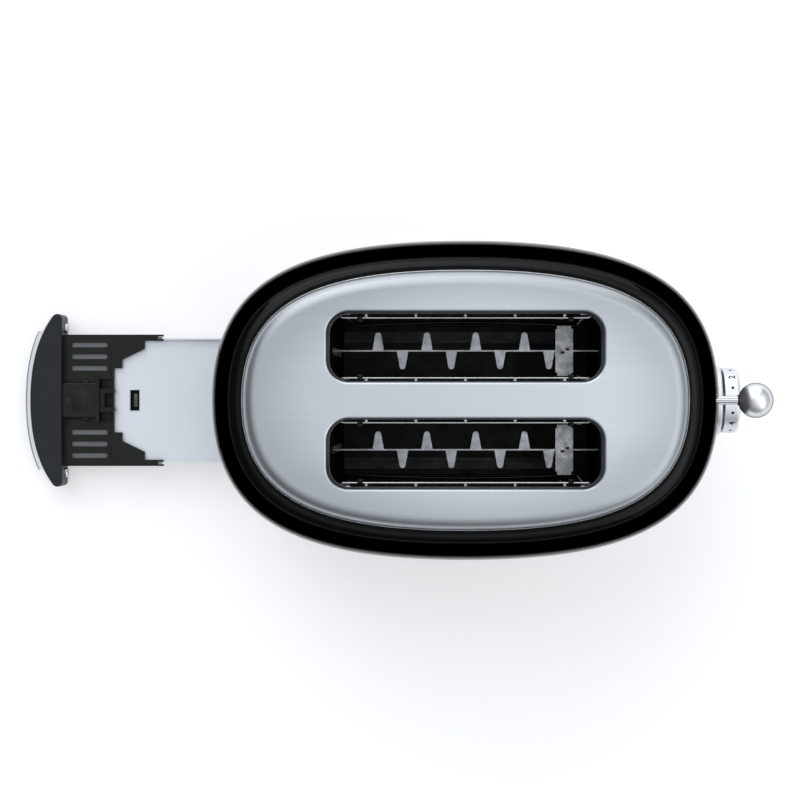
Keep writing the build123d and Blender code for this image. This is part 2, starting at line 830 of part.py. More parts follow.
def knob_and_shaft():
    """Browning knob with a rounded front, and its shaft."""
    with BuildPart() as knob:
        with BuildSketch(end_plane(knob_rear_x)):
            with Locations((0, knob_z)):
                Circle(knob_radius)
        extrude(amount=knob_front_x - knob_rear_x)
        fillet(knob.edges().group_by(Axis.X)[-1], knob_round)
        with BuildSketch(end_plane(knob_rear_x)):
            with Locations((0, knob_z)):
                Circle(knob_radius - knob_wall)
                Circle(2 * shaft_radius, mode=Mode.SUBTRACT)
        extrude(amount=knob_front_x - knob_rear_x - 2 * knob_wall, mode=Mode.SUBTRACT)
        with BuildSketch(end_plane(knob_rear_x)):
            with Locations((0, knob_z)):
                Circle(shaft_radius)
        extrude(amount=knob_front_x - knob_rear_x - 2 * knob_wall, mode=Mode.SUBTRACT)
    save(knob.part, "browning_knob")

    with BuildPart() as shaft:
        with BuildSketch(end_plane(circuit_x + circuit_skin + shaft_start)):
            with Locations((0, knob_z)):
                Circle(shaft_radius)
        extrude(amount=knob_front_x - 2 * knob_wall - circuit_x - circuit_skin - shaft_start)
    save(shaft.part, "knob_shaft")

    with BuildPart() as control:
        with BuildSketch(end_plane(circuit_x + circuit_skin)):
            with Locations((0, knob_z)):
                Circle(control_radius)
        extrude(amount=frame_x - circuit_x - circuit_skin)
        with BuildSketch(end_plane(circuit_x + circuit_skin + shaft_start - fit_gap)):
            with Locations((0, knob_z)):
                Circle(shaft_radius + shaft_clearance)
        extrude(amount=frame_x - circuit_x - circuit_skin, mode=Mode.SUBTRACT)
    save(control.part, "browning_control")

    with BuildPart() as bezel:
        with BuildSketch(end_plane(frame_x + frame_skin)):
            with Locations((0, knob_z)):
                Circle(bezel_radius)
                Circle(bezel_radius - bezel_wall, mode=Mode.SUBTRACT)
        extrude(amount=bezel_front_x - frame_x - frame_skin)
        with BuildSketch(end_plane(bezel_front_x)):
            with Locations((0, knob_z)):
                Circle(bezel_radius)
                Circle(shaft_radius + shaft_hole_gap, mode=Mode.SUBTRACT)
        extrude(amount=-bezel_floor)
        outer_edge = bezel.edges().filter_by(GeomType.CIRCLE).group_by(Axis.X)[-1].sort_by(Edge.length)[-1]
        fillet(outer_edge, bezel_round)
    save(bezel.part, "knob_bezel")


def front_controls():
    """Buttons, the frame that guides them, the circuit board and its switches."""
    for (y, z), name in zip(button_places(), button_names):
        face_x = button_low_face_x if z == button_low_z else button_high_face_x
        with BuildPart() as button:
            with BuildSketch(end_plane(button_rear_x)):
                with Locations((y, z)):
                    Circle(button_radius)
            extrude(amount=face_x - button_rear_x)
            fillet(button.edges().group_by(Axis.X)[-1], button_round)
            stem_start_x = circuit_x + circuit_skin + switch_depth + button_travel + fit_gap
            with BuildSketch(end_plane(stem_start_x)):
                with Locations((y, z)):
                    Circle(stem_button_radius)
            extrude(amount=button_rear_x - stem_start_x)
        save(button.part, name)

    with BuildPart() as frame:
        with BuildSketch(end_plane(frame_x)):
            with Locations((0, (frame_bottom_z + frame_top_z) / 2)):
                RectangleRounded(2 * frame_half_y, frame_top_z - frame_bottom_z, frame_corner)
            for side in (-1, 1):
                with Locations((side * (frame_half_y - leg_width), (pan_top_z + frame_bottom_z) / 2)):
                    Rectangle(leg_width, frame_bottom_z - pan_top_z)
            with Locations(*button_places()):
                Circle(stem_button_radius + pin_clearance, mode=Mode.SUBTRACT)
            with Locations((0, knob_z)):
                Circle(shaft_radius + shaft_hole_gap, mode=Mode.SUBTRACT)
        extrude(amount=frame_skin)
    save(frame.part, "front_frame")

    with BuildPart() as circuit:
        with BuildSketch(end_plane(circuit_x)):
            with Locations((0, (pan_top_z + circuit_top_z) / 2)):
                Rectangle(2 * circuit_half_y, circuit_top_z - pan_top_z)
        extrude(amount=circuit_skin)
    save(circuit.part, "circuit_board")

    with BuildPart() as switches:
        with BuildSketch(end_plane(circuit_x + circuit_skin)):
            with Locations(*button_places()):
                RectangleRounded(switch_size, switch_size, switch_corner)
        extrude(amount=switch_depth)
    save(switches.part, "button_switches")


def lever_slot_liner():
    """Black frame that lines the lever slot and follows the bulge of the shell."""
    middle_z = (lever_slot_bottom_z + lever_slot_top_z) / 2
    height = lever_slot_top_z - lever_slot_bottom_z
    with BuildPart() as bulge:
        loft(sections=body_sections(0))
    with BuildPart() as core:
        loft(sections=body_sections(liner_depth))
    with BuildPart() as liner:
        with BuildSketch(end_plane(frame_x)):
            with Locations((0, middle_z)):
                SlotOverall(height - 2 * fit_gap, 2 * (lever_slot_half_y - fit_gap), rotation=90)
                SlotOverall(
                    height - 2 * liner_wall,
                    2 * (lever_slot_half_y - liner_wall / 2),
                    rotation=90,
                    mode=Mode.SUBTRACT,
                )
        extrude(amount=widest_x)
        add(bulge.part, mode=Mode.INTERSECT)
        add(core.part, mode=Mode.SUBTRACT)
    save(liner.part, "lever_slot_liner")


def tray_handle():
    """Black handle block with the band's own curve on its front."""
    with BuildPart() as handle:
        with BuildSketch(tray_plane(handle_bottom_z)) as outline:
            add(oval(band_x, band_y, 0, base_width_pull))
            with Locations((handle_depth / 2 - band_x, 0)):
                Rectangle(handle_depth, handle_width, mode=Mode.INTERSECT)
            corners = [v for v in outline.vertices() if abs(v.Y) > handle_width / 2 - fit_gap]
            fillet(corners, handle_corner)
        extrude(amount=handle_top_z - handle_bottom_z)
        fillet(handle.edges().group_by(Axis.Z)[0] + handle.edges().group_by(Axis.Z)[-1], handle_round)
        with BuildSketch(tray_end_plane(handle_back_x)):
            with Locations((-screw_y, screw_z), (screw_y, screw_z)):
                Circle(screw_shank_radius)
        extrude(amount=-screw_shank_length, mode=Mode.SUBTRACT)
    save(handle.part, "tray_handle")

    with BuildPart() as trim:
        with BuildSketch(tray_plane(trim_bottom_z)):
            add(oval(band_x + trim_thickness, band_y + trim_thickness, 0, base_width_pull))
            add(oval(band_x, band_y, 0, base_width_pull), mode=Mode.SUBTRACT)
            with Locations((-band_x, 0)):
                Rectangle(band_x, handle_width - 2 * handle_round, mode=Mode.INTERSECT)
        extrude(amount=trim_top_z - trim_bottom_z)
    save(trim.part, "handle_trim")

    inner = trim_thickness
    outer = trim_thickness + lip_thickness
    with BuildPart() as lip:
        with BuildSketch(tray_plane(lip_bottom_z)):
            add(oval(band_x + outer, band_y + outer, 0, base_width_pull))
            add(oval(band_x + inner, band_y + inner, 0, base_width_pull), mode=Mode.SUBTRACT)
            with Locations((-band_x, 0)):
                Rectangle(band_x, lip_width, mode=Mode.INTERSECT)
        extrude(amount=lip_top_z - lip_bottom_z)
        front = lip.faces().sort_by(Axis.X)[0]
        fillet(front.edges(), lip_round)
    save(lip.part, "handle_lip")

    with BuildPart() as screws:
        with BuildSketch(tray_end_plane(handle_back_x)):
            with Locations((-screw_y, screw_z), (screw_y, screw_z)):
                Circle(screw_head_radius)
        extrude(amount=screw_head_height)
        fillet(screws.edges().group_by(Axis.X)[-1], screw_head_round)
        with BuildSketch(tray_end_plane(handle_back_x)):
            with Locations((-screw_y, screw_z), (screw_y, screw_z)):
                Circle(screw_shank_radius)
        extrude(amount=-screw_shank_length)
    save(screws.part, "handle_screws")


def crumb_plate():
    """Thin aluminium plate that runs under the black tray frame."""
    length = tray_plate_end_x - handle_back_x
    with BuildPart() as plate:
        with BuildSketch(tray_plane(tray_plate_z)):
            with Locations((handle_back_x + length / 2, 0)):
                Rectangle(length, 2 * tray_plate_half_y)
            with Locations((hole_x, 0)):
                Rectangle(hole_length, hole_width, mode=Mode.SUBTRACT)
        extrude(amount=tray_plate_skin)
        for side in (-1, 1):
            start_x = rail_end_x + guide_gap
            with BuildSketch(tray_plane(tray_plate_z)):
                with Locations(((start_x + tray_plate_end_x) / 2, side * (tray_plate_half_y - sheet / 2))):
                    Rectangle(tray_plate_end_x - start_x, sheet)
            extrude(amount=tray_frame_top_z - tray_plate_z)
        with BuildSketch(tray_plane(tray_plate_z)):
            with Locations((tray_plate_end_x - sheet / 2, 0)):
                Rectangle(sheet, 2 * tray_plate_half_y)
        extrude(amount=tray_frame_top_z - tray_plate_z)
    save(plate.part, "crumb_plate")


def tray_frame():
    """Black frame on the plate: grille, stepped inner edge and two forked rails."""
    inner_y = rail_half_y - rail_width
    with BuildPart() as frame:
        with BuildSketch(tray_plane(tray_frame_bottom_z)):
            with BuildLine():
                Polyline(
                    (handle_back_x, inner_y + frame_seat),
                    (step_x[2], inner_y + frame_seat),
                    (step_x[2], step_y[2]),
                    (step_x[1], step_y[1]),
                    (step_x[1], step_y[0]),
                    (step_x[0], step_y[0]),
                    (step_x[0], 0),
                    (handle_back_x, 0),
                    close=True,
                )
            make_face()
            mirror(about=Plane.XZ)
            for side in (-1, 1):
                with Locations(((handle_back_x + rail_end_x) / 2, side * (rail_half_y - rail_width / 2))):
                    Rectangle(rail_end_x - handle_back_x, rail_width)
                with Locations((rail_end_x - fork_depth / 2, side * (rail_half_y - rail_width / 2))):
                    SlotOverall(2 * fork_depth, fork_gap, mode=Mode.SUBTRACT)
                for row in range(grille_rows):
                    row_y = side * (grille_inner_y + row * grille_pitch)
                    with Locations((grille_start_x + grille_length / 2, row_y)):
                        SlotOverall(grille_length, grille_slot, mode=Mode.SUBTRACT)
        extrude(amount=tray_frame_top_z - tray_frame_bottom_z)
        with BuildSketch(tray_plane(recess_floor_z)):
            with Locations(((recess_start_x + recess_end_x) / 2, 0)):
                Rectangle(recess_end_x - recess_start_x, 2 * recess_half_y)
        extrude(amount=tray_frame_top_z - recess_floor_z, mode=Mode.SUBTRACT)
    save(frame.part, "tray_frame")


def tray_latch():
    """Push latch on the tray frame: its box, its flange, two jaws and a plunger."""
    with BuildPart() as housing:
        with BuildSketch(tray_plane(tray_frame_top_z)):
            with Locations(((handle_back_x + latch_end_x) / 2, 0)):
                Rectangle(latch_end_x - handle_back_x, 2 * latch_half_y)
        extrude(amount=latch_top_z - tray_frame_top_z)
        fillet(housing.edges().filter_by(Axis.X).group_by(Axis.Z)[-1], latch_round)
        with BuildSketch(tray_plane(tray_frame_top_z)):
            with Locations((latch_end_x + flange_thickness / 2, 0)):
                Rectangle(flange_thickness, 2 * recess_half_y)
        extrude(amount=latch_top_z + flange_rise - tray_frame_top_z)
    save(housing.part, "latch_housing")

    jaw_start_x = latch_end_x + flange_thickness
    with BuildPart() as jaws:
        with BuildSketch(tray_plane(jaw_bottom_z)):
            for side in (-1, 1):
                with Locations(((jaw_start_x + jaw_end_x) / 2, side * (jaw_half_gap + jaw_width / 2))):
                    RectangleRounded(jaw_end_x - jaw_start_x, jaw_width, jaw_round)
            with Locations((jaw_start_x + plunger_length / 2, 0)):
                Rectangle(plunger_length, 2 * plunger_half_y)
            with Locations((jaw_start_x + jaw_bridge / 2, 0)):
                Rectangle(jaw_bridge, 2 * (jaw_half_gap + jaw_width / 2))
        extrude(amount=jaw_top_z - jaw_bottom_z)
    save(jaws.part, "latch_jaws")


def tray_supports():
    """Channels that guide the tray, and the striker that the latch holds."""
    with BuildPart() as guides:
        for side in (-1, 1):
            with BuildSketch(end_plane(guide_start_x)):
                outer_y = rail_half_y + guide_gap + guide_wall
                top_z = tray_frame_top_z + guide_gap + guide_wall
                with Locations((side * (outer_y - guide_wall / 2), (pan_top_z + top_z) / 2)):
                    Rectangle(guide_wall, top_z - pan_top_z)
                reach = guide_wall + guide_gap + guide_lip
                with Locations((side * (outer_y - reach / 2), top_z - guide_wall / 2)):
                    Rectangle(reach, guide_wall)
                ledge_top_z = tray_plate_z - guide_gap
                ledge_reach = outer_y - tray_plate_half_y + guide_lip
                with Locations((side * (outer_y - ledge_reach / 2), (pan_top_z + ledge_top_z) / 2)):
                    Rectangle(ledge_reach, ledge_top_z - pan_top_z)
            extrude(amount=guide_end_x - guide_start_x)
    save(guides.part, "tray_guides")

    tip_x = latch_end_x + flange_thickness + plunger_length + striker_reach
    plate_x_face = -chamber_half_x - sheet
    with BuildPart() as striker:
        with BuildSketch(Plane.XY.offset(striker_bottom_z)):
            with Locations(((tip_x + plate_x_face) / 2, 0)):
                Rectangle(plate_x_face - tip_x, 2 * striker_half_y)
        extrude(amount=striker_top_z - striker_bottom_z)
        with BuildSketch(Plane.XY.offset(striker_bottom_z)):
            with Locations((plate_x_face - striker_skin / 2, 0)):
                Rectangle(striker_skin, 4 * striker_half_y)
        extrude(amount=2 * (chamber_bottom_z - striker_bottom_z))
    save(striker.part, "latch_striker")


def cable_entry():
    """Soft bush where the mains cable comes in, and the block that it ends on."""
    with BuildPart() as gland:
        with BuildSketch(Plane.XY.offset(pan_bottom_z - gland_flange)):
            with Locations((cord_entry_x, cord_entry_y)):
                Circle(gland_flange_radius)
        extrude(amount=gland_flange)
        with BuildSketch(Plane.XY.offset(pan_bottom_z)):
            with Locations((cord_entry_x, cord_entry_y)):
                Circle(gland_radius)
        extrude(amount=gland_height)
        with BuildSketch(Plane.XY.offset(pan_bottom_z - gland_flange)):
            with Locations((cord_entry_x, cord_entry_y)):
                Circle(cord_bore_radius)
        extrude(amount=gland_height + gland_flange, mode=Mode.SUBTRACT)
    save(gland.part, "cord_gland")

    with BuildPart() as block:
        with BuildSketch(Plane.XY.offset(pan_top_z)):
            with Locations((cord_entry_x + terminal_length, cord_entry_y)):
                Rectangle(terminal_length, terminal_width)
        extrude(amount=terminal_height)
        with BuildSketch(Plane.XY.offset(pan_top_z + terminal_height)):
            with Locations((cord_entry_x + terminal_length, cord_entry_y)):
                with GridLocations(terminal_length / 3, 0, 3, 1):
                    Circle(terminal_width / 6)
        extrude(amount=-terminal_height / 2, mode=Mode.SUBTRACT)
    save(block.part, "terminal_block")


outer_shell()
base_band()
base_pan()
feet()
top_plate()
rim_gasket()
end_sheet(1, "front_sheet")
end_sheet(-1, "rear_sheet")
side_reflectors()
for slot_sign, slot_name in ((1, "left"), (-1, "right")):
    for board_way, way_name in ((1, "outer"), (-1, "inner")):
        face = board_way * slot_sign
        heater(slot_sign * slot_offset_y, face, f"{slot_name}_{way_name}_heater")
        bread_guard(slot_sign * slot_offset_y, face, f"{slot_name}_{way_name}_guard")
    bread_carrier(slot_sign * slot_offset_y, f"{slot_name}_bread_carrier")
carriage()
guide_and_magnet()
knob_and_shaft()
front_controls()
lever_slot_liner()
tray_handle()
crumb_plate()
tray_frame()
tray_latch()
tray_supports()
cable_entry()
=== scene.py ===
"""Looks of a two-slot toaster: studio, camera, finishes and the fine pieces around the CAD model."""

import json
import math

import bmesh
import bpy
from mathutils import Matrix, Vector


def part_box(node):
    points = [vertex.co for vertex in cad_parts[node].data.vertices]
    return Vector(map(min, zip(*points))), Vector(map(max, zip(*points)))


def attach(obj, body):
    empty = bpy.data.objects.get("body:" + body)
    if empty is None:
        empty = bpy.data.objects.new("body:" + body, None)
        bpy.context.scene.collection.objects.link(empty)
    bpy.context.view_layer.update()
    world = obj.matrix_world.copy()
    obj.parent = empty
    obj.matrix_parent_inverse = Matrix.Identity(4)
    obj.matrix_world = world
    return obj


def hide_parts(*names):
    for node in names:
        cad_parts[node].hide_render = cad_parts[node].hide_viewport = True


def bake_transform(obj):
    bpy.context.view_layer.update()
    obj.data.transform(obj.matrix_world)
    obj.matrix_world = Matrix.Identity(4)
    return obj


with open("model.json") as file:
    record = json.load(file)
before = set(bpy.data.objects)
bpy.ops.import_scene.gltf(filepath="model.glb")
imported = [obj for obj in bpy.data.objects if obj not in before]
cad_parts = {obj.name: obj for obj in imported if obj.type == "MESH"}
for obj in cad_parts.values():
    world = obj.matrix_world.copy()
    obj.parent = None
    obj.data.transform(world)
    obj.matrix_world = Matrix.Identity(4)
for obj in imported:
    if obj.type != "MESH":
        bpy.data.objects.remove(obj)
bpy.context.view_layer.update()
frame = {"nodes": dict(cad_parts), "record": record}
mm = 0.001
along_x, along_y, along_z = (1, 0, 0), (0, 1, 0), (0, 0, 1)

# Camera: straight above the body, as high as the photograph's perspective says
photo_pixels = 800
camera_height = 1198 * mm
focal_pixels = 1812
principal_px = 465.5
principal_py = 400.3
sensor_mm = 36.0

# Studio: a soft dome of light, three lamps and a pale floor
sky_colour = (0.93, 0.965, 1.0)
horizon_level = 0.22
# Each patch: its direction, the cosine where it starts and its level in the middle
sky_patches = (
    ((0.40, 0.00, 1.0), 0.30, 0.84),
    ((-0.40, 0.85, 0.95), 0.80, 1.50),
    ((0.90, -0.80, 0.85), 0.88, 0.80),
)
# Each lamp: its place, its target, its width and height in metres, and its level
lamps = {
    "overhead": ((0.95, 0.0, 1.9), (0.05, 0, 0.2), 1.5, 1.6, 0.58),
    "back_bank": ((-0.2, 1.6, 0.62), (0, 0, 0.15), 2.6, 1.2, 1.30),
    "front_bank": ((1.2, -1.2, 0.50), (0, 0, 0.12), 0.9, 0.9, 0.25),
}
floor_white = 0.80
floor_lift = 0.32
floor_reach = 60.0
floor_roughness = 0.9

# Finishes
noise_roughness = 0.55
smooth_angle = math.radians(35)
# Nodes and pieces with a finish of their own, in place of the one for their slot; the plate's rolled edge
# gets a paler steel than the plate's, a painted highlight
own_finish = {"lever_ball": "lever_chrome", "lever_arm": "lever_chrome", "plate_rolled_edge": "edge_highlight_steel"}
# Painted shade: the crumb plate is darkened on the low side of this X, in millimetres, under the tray
# frame's end
tray_shade_x = -231.5

# Plate, joint and slot hems, in millimetres; the insets and the gaps are measured from the plate's edge
edge_inset = 0.75
edge_rise = 6.9
edge_radius = 1.10
joint_gap = 0.1
joint_gap_x = 1.35
joint_gap_y = 2.3
joint_drop = 0.6
joint_rise = 0.06
crest_gap_x = 1.5
crest_gap_y = 2.5
crest_drop = 0.12
crest_radius = 0.28
hem_half_x = 76.4
hem_half_y = 19.15
hem_corner = 11.8
hem_rise = 0.9
hem_radius = 0.45
slot_offset_y = 29.6

# Bread guards and carriers, in millimetres
guard_top_z = 174.0
guard_half_length = 69.0
guard_offset_y = 18.4
guard_cross_inset = 1.28
hook_reach = 2.2
hook_half_width = 1.1
hook_tail = 3.5
hook_radius = 0.72
clamp_x = 59.6
clamp_size = (3.4, 2.4, 3.0)
carrier_top_z = 113.0
strip_centre_x = 59.1
strip_cut_size = (2.2, 1.5, 0.3)

# Lever, in millimetres
groove_turn = 24
groove_lift = 2.32
groove_radius = 0.30
spring_turns = 20
spring_steps = 24
spring_wire = 0.45

# Dial, in millimetres and degrees
digit_height = 4.2
digit_depth = 0.02
digit_swell = 0.018
digit_count = 6
top_digit = 3
dial_step = 45
dial_middle = 4.6
ink_rise = 0.05
dot_radius = 1.0
face_ridges = 5
ridge_start = 6.0
ridge_step = 2.2
pointer_rise = 13.2

# Crumb tray, in millimetres
tray_frame_top_z = 17.8
tray_plate_z = 13.5
latch_half_y = 11.4
latch_clamp_x = -246.8
hole_x = -216.0
hole_half_x = 3.2
hole_half_y = 6.9

# Underside and inside, in millimetres
louvre_rows = 6
louvre_step = 12.0
louvre_start_x = -30.0
louvre_offset_y = 24.0
pan_screw_places = (
    (-109.74, 40.92), (-109.74, -40.92), (109.74, 40.92), (109.74, -40.92), (0, 72.54), (0, -72.54)
)
foot_x = 100
foot_y = 56
tread_rings = (5.2, 6.6)
tread_radius = 0.3
lead_radius = 1.05


def make_camera():
    """Camera that looks straight down, with the photograph's framing."""
    data = bpy.data.cameras.new("camera")
    data.sensor_width = sensor_mm
    data.lens = sensor_mm * focal_pixels / photo_pixels
    data.shift_x = (photo_pixels / 2 - principal_px) / photo_pixels
    data.shift_y = (principal_py - photo_pixels / 2) / photo_pixels
    camera = bpy.data.objects.new("camera", data)
    camera.location = (0, 0, camera_height)
    bpy.context.scene.collection.objects.link(camera)
    bpy.context.scene.camera = camera


def area_light(name, place, target, width, height, level):
    """Soft rectangular lamp at a place, turned to a target, with a given radiance."""
    data = bpy.data.lights.new(name, "AREA")
    data.shape = "RECTANGLE"
    data.size = width
    data.size_y = height
    data.energy = level * math.pi * width * height
    lamp = bpy.data.objects.new(name, data)
    lamp.location = place
    lamp.rotation_euler = (Vector(target) - Vector(place)).to_track_quat("-Z", "Y").to_euler()
    lamp.visible_camera = False
    bpy.context.scene.collection.objects.link(lamp)


def make_world():
    """Soft dome of light: an even horizon with broad bright patches, each with soft edges."""
    world = bpy.data.worlds.new("studio")
    bpy.context.scene.world = world
    world.use_nodes = True
    tree = world.node_tree
    background = tree.nodes["Background"]
    background.inputs["Color"].default_value = (*sky_colour, 1)
    coordinates = tree.nodes.new("ShaderNodeTexCoord")
    total = None
    for direction, start, level in sky_patches:
        facing = tree.nodes.new("ShaderNodeVectorMath")
        facing.operation = "DOT_PRODUCT"
        facing.inputs[1].default_value = Vector(direction).normalized()
        tree.links.new(coordinates.outputs["Generated"], facing.inputs[0])
        patch = tree.nodes.new("ShaderNodeMapRange")
        patch.interpolation_type = "SMOOTHSTEP"
        patch.inputs["From Min"].default_value = start
        patch.inputs["From Max"].default_value = 1.0
        patch.inputs["To Min"].default_value = 0.0
        patch.inputs["To Max"].default_value = level
        tree.links.new(facing.outputs["Value"], patch.inputs["Value"])
        sum_node = tree.nodes.new("ShaderNodeMath")
        sum_node.operation = "ADD"
        tree.links.new(patch.outputs["Result"], sum_node.inputs[0])
        sum_node.inputs[1].default_value = horizon_level
        if total:
            tree.links.new(total, sum_node.inputs[1])
        total = sum_node.outputs[0]
    tree.links.new(total, background.inputs["Strength"])


def make_floor():
    """Pale floor that the camera and the metal see as white."""
    mesh = bpy.data.meshes.new("floor")
    shape = bmesh.new()
    bmesh.ops.create_grid(shape, x_segments=8, y_segments=8, size=floor_reach)
    shape.to_mesh(mesh)
    shape.free()
    floor = bpy.data.objects.new("floor", mesh)
    bpy.context.scene.collection.objects.link(floor)
    material = bpy.data.materials.new("floor_paint")
    material.use_nodes = True
    tree = material.node_tree
    shader = tree.nodes["Principled BSDF"]
    shader.inputs["Base Color"].default_value = (*grey(floor_white), 1)
    shader.inputs["Roughness"].default_value = floor_roughness
    shader.inputs["Specular IOR Level"].default_value = 0.0
    shader.inputs["Emission Color"].default_value = (1, 1, 1, 1)
    paths = tree.nodes.new("ShaderNodeLightPath")
    direct = tree.nodes.new("ShaderNodeMath")
    direct.operation = "MAXIMUM"
    tree.links.new(paths.outputs["Is Camera Ray"], direct.inputs[0])
    tree.links.new(paths.outputs["Is Glossy Ray"], direct.inputs[1])
    seen = tree.nodes.new("ShaderNodeMath")
    seen.operation = "MAXIMUM"
    tree.links.new(direct.outputs[0], seen.inputs[0])
    tree.links.new(paths.outputs["Is Transmission Ray"], seen.inputs[1])
    lift = tree.nodes.new("ShaderNodeMath")
    lift.operation = "MULTIPLY"
    tree.links.new(seen.outputs[0], lift.inputs[0])
    lift.inputs[1].default_value = floor_lift
    tree.links.new(lift.outputs[0], shader.inputs["Emission Strength"])
    mesh.materials.append(material)


def make_studio():
    """Pale floor and three soft lamps in the dome of light."""
    bpy.context.scene.view_settings.view_transform = "Standard"
    make_world()
    for name, values in lamps.items():
        area_light(name, *values)
    make_floor()


def grey(level):
    """A neutral colour."""
    return (level, level, level)


class Finish:
    """One procedural material, built up from object-space noise."""

    def __init__(self, name, colour, metallic=0.0, roughness=0.5, specular=0.5):
        self.material = bpy.data.materials.new(name)
        self.material.use_nodes = True
        self.tree = self.material.node_tree
        self.shader = self.tree.nodes["Principled BSDF"]
        self.colour = colour
        self.roughness = roughness
        self.set("Base Color", (*colour, 1))
        self.set("Metallic", metallic)
        self.set("Roughness", roughness)
        self.set("Specular IOR Level", specular)
        self.coordinates = self.add("ShaderNodeTexCoord")

    def set(self, socket, value):
        """Gives a socket of the shader a plain value."""
        self.shader.inputs[socket].default_value = value

    def add(self, kind, **values):
        """Adds a node of a kind, with its own settings."""
        node = self.tree.nodes.new(kind)
        for key, value in values.items():
            setattr(node, key, value)
        return node

    def link(self, source, target):
        """Links an output to an input."""
        self.tree.links.new(source, target)

    def place(self, stretch):
        """Object coordinates, stretched by a factor along each axis."""
        mapping = self.add("ShaderNodeMapping")
        mapping.inputs["Scale"].default_value = stretch
        self.link(self.coordinates.outputs["Object"], mapping.inputs["Vector"])
        return mapping.outputs["Vector"]

    def noise(self, size, stretch=(1, 1, 1), detail=4.0):
        """Noise whose features are about a size in metres."""
        node = self.add("ShaderNodeTexNoise")
        node.inputs["Scale"].default_value = 1 / size
        node.inputs["Detail"].default_value = detail
        node.inputs["Roughness"].default_value = noise_roughness
        self.link(self.place(stretch), node.inputs["Vector"])
        return node.outputs["Fac"]

    def cells(self, size, stretch=(1, 1, 1), feature="F1"):
        """Cell pattern whose cells are about a size in metres, as a distance."""
        node = self.add("ShaderNodeTexVoronoi", feature=feature)
        node.inputs["Scale"].default_value = 1 / size
        self.link(self.place(stretch), node.inputs["Vector"])
        return node.outputs["Distance"]

    def spread(self, factor, low, high):
        """Maps noise round one half to a range of values."""
        node = self.add("ShaderNodeMapRange")
        node.inputs["From Min"].default_value = 0.3
        node.inputs["From Max"].default_value = 0.7
        node.inputs["To Min"].default_value = low
        node.inputs["To Max"].default_value = high
        self.link(factor, node.inputs["Value"])
        return node.outputs["Result"]

    def blend_base(self, mix):
        """Puts a mix node between the base colour as it is so far and the shader."""
        base = self.shader.inputs["Base Color"]
        if base.is_linked:
            self.link(base.links[0].from_socket, mix.inputs[6])
        else:
            mix.inputs[6].default_value = (*self.colour, 1)
        self.link(mix.outputs[2], base)

    def tint(self, factor, other, low=0.3, high=0.7):
        """Blends the base colour towards another one by a factor."""
        span = self.add("ShaderNodeMapRange")
        span.inputs["From Min"].default_value = low
        span.inputs["From Max"].default_value = high
        self.link(factor, span.inputs["Value"])
        mix = self.add("ShaderNodeMix", data_type="RGBA")
        self.link(span.outputs["Result"], mix.inputs["Factor"])
        mix.inputs[7].default_value = (*other, 1)
        self.blend_base(mix)

    def shade(self, share):
        """Multiplies the base colour by a share that varies over the surface."""
        mix = self.add("ShaderNodeMix", data_type="RGBA", blend_type="MULTIPLY")
        mix.inputs["Factor"].default_value = 1
        self.link(share, mix.inputs[7])
        self.blend_base(mix)

    def rough(self, factor, change):
        """Varies the roughness up and down by a change."""
        value = self.spread(factor, max(0.02, self.roughness - change), self.roughness + change)
        self.link(value, self.shader.inputs["Roughness"])

    def bump(self, factor, depth):
        """Adds relief of a real depth in metres from a factor."""
        node = self.add("ShaderNodeBump")
        node.inputs["Distance"].default_value = depth
        self.link(factor, node.inputs["Height"])
        self.link(node.outputs["Normal"], self.shader.inputs["Normal"])

    def shade_below(self, axis, place, width, share):
        """Painted shade: darkens the base colour on the low side of a place along an object axis."""
        split = self.add("ShaderNodeSeparateXYZ")
        self.link(self.coordinates.outputs["Object"], split.inputs[0])
        level = self.add("ShaderNodeMapRange", interpolation_type="SMOOTHSTEP")
        level.inputs["From Min"].default_value = place - width
        level.inputs["From Max"].default_value = place
        level.inputs["To Min"].default_value = share
        self.link(split.outputs[axis], level.inputs["Value"])
        self.shade(level.outputs["Result"])

    def shade_outside(self, halves, start, end, share):
        """Painted shade: darkens the base colour towards the edge of an oval with two half sizes."""
        split = self.add("ShaderNodeSeparateXYZ")
        self.link(self.coordinates.outputs["Object"], split.inputs[0])
        squares = []
        for axis, half in zip("XY", halves):
            scaled = self.add("ShaderNodeMath", operation="DIVIDE")
            self.link(split.outputs[axis], scaled.inputs[0])
            scaled.inputs[1].default_value = half
            square = self.add("ShaderNodeMath", operation="MULTIPLY")
            self.link(scaled.outputs[0], square.inputs[0])
            self.link(scaled.outputs[0], square.inputs[1])
            squares.append(square)
        total = self.add("ShaderNodeMath", operation="ADD")
        self.link(squares[0].outputs[0], total.inputs[0])
        self.link(squares[1].outputs[0], total.inputs[1])
        level = self.add("ShaderNodeMapRange", interpolation_type="SMOOTHSTEP")
        level.inputs["From Min"].default_value = start
        level.inputs["From Max"].default_value = end
        level.inputs["To Min"].default_value = 1.0
        level.inputs["To Max"].default_value = share
        self.link(total.outputs[0], level.inputs["Value"])
        self.shade(level.outputs["Result"])


def object_x(node, x):
    """A place in the frame's X, in millimetres, as a node's own X in metres."""
    return (frame["nodes"][node].matrix_world.inverted() @ Vector((x * mm, 0, 0))).x


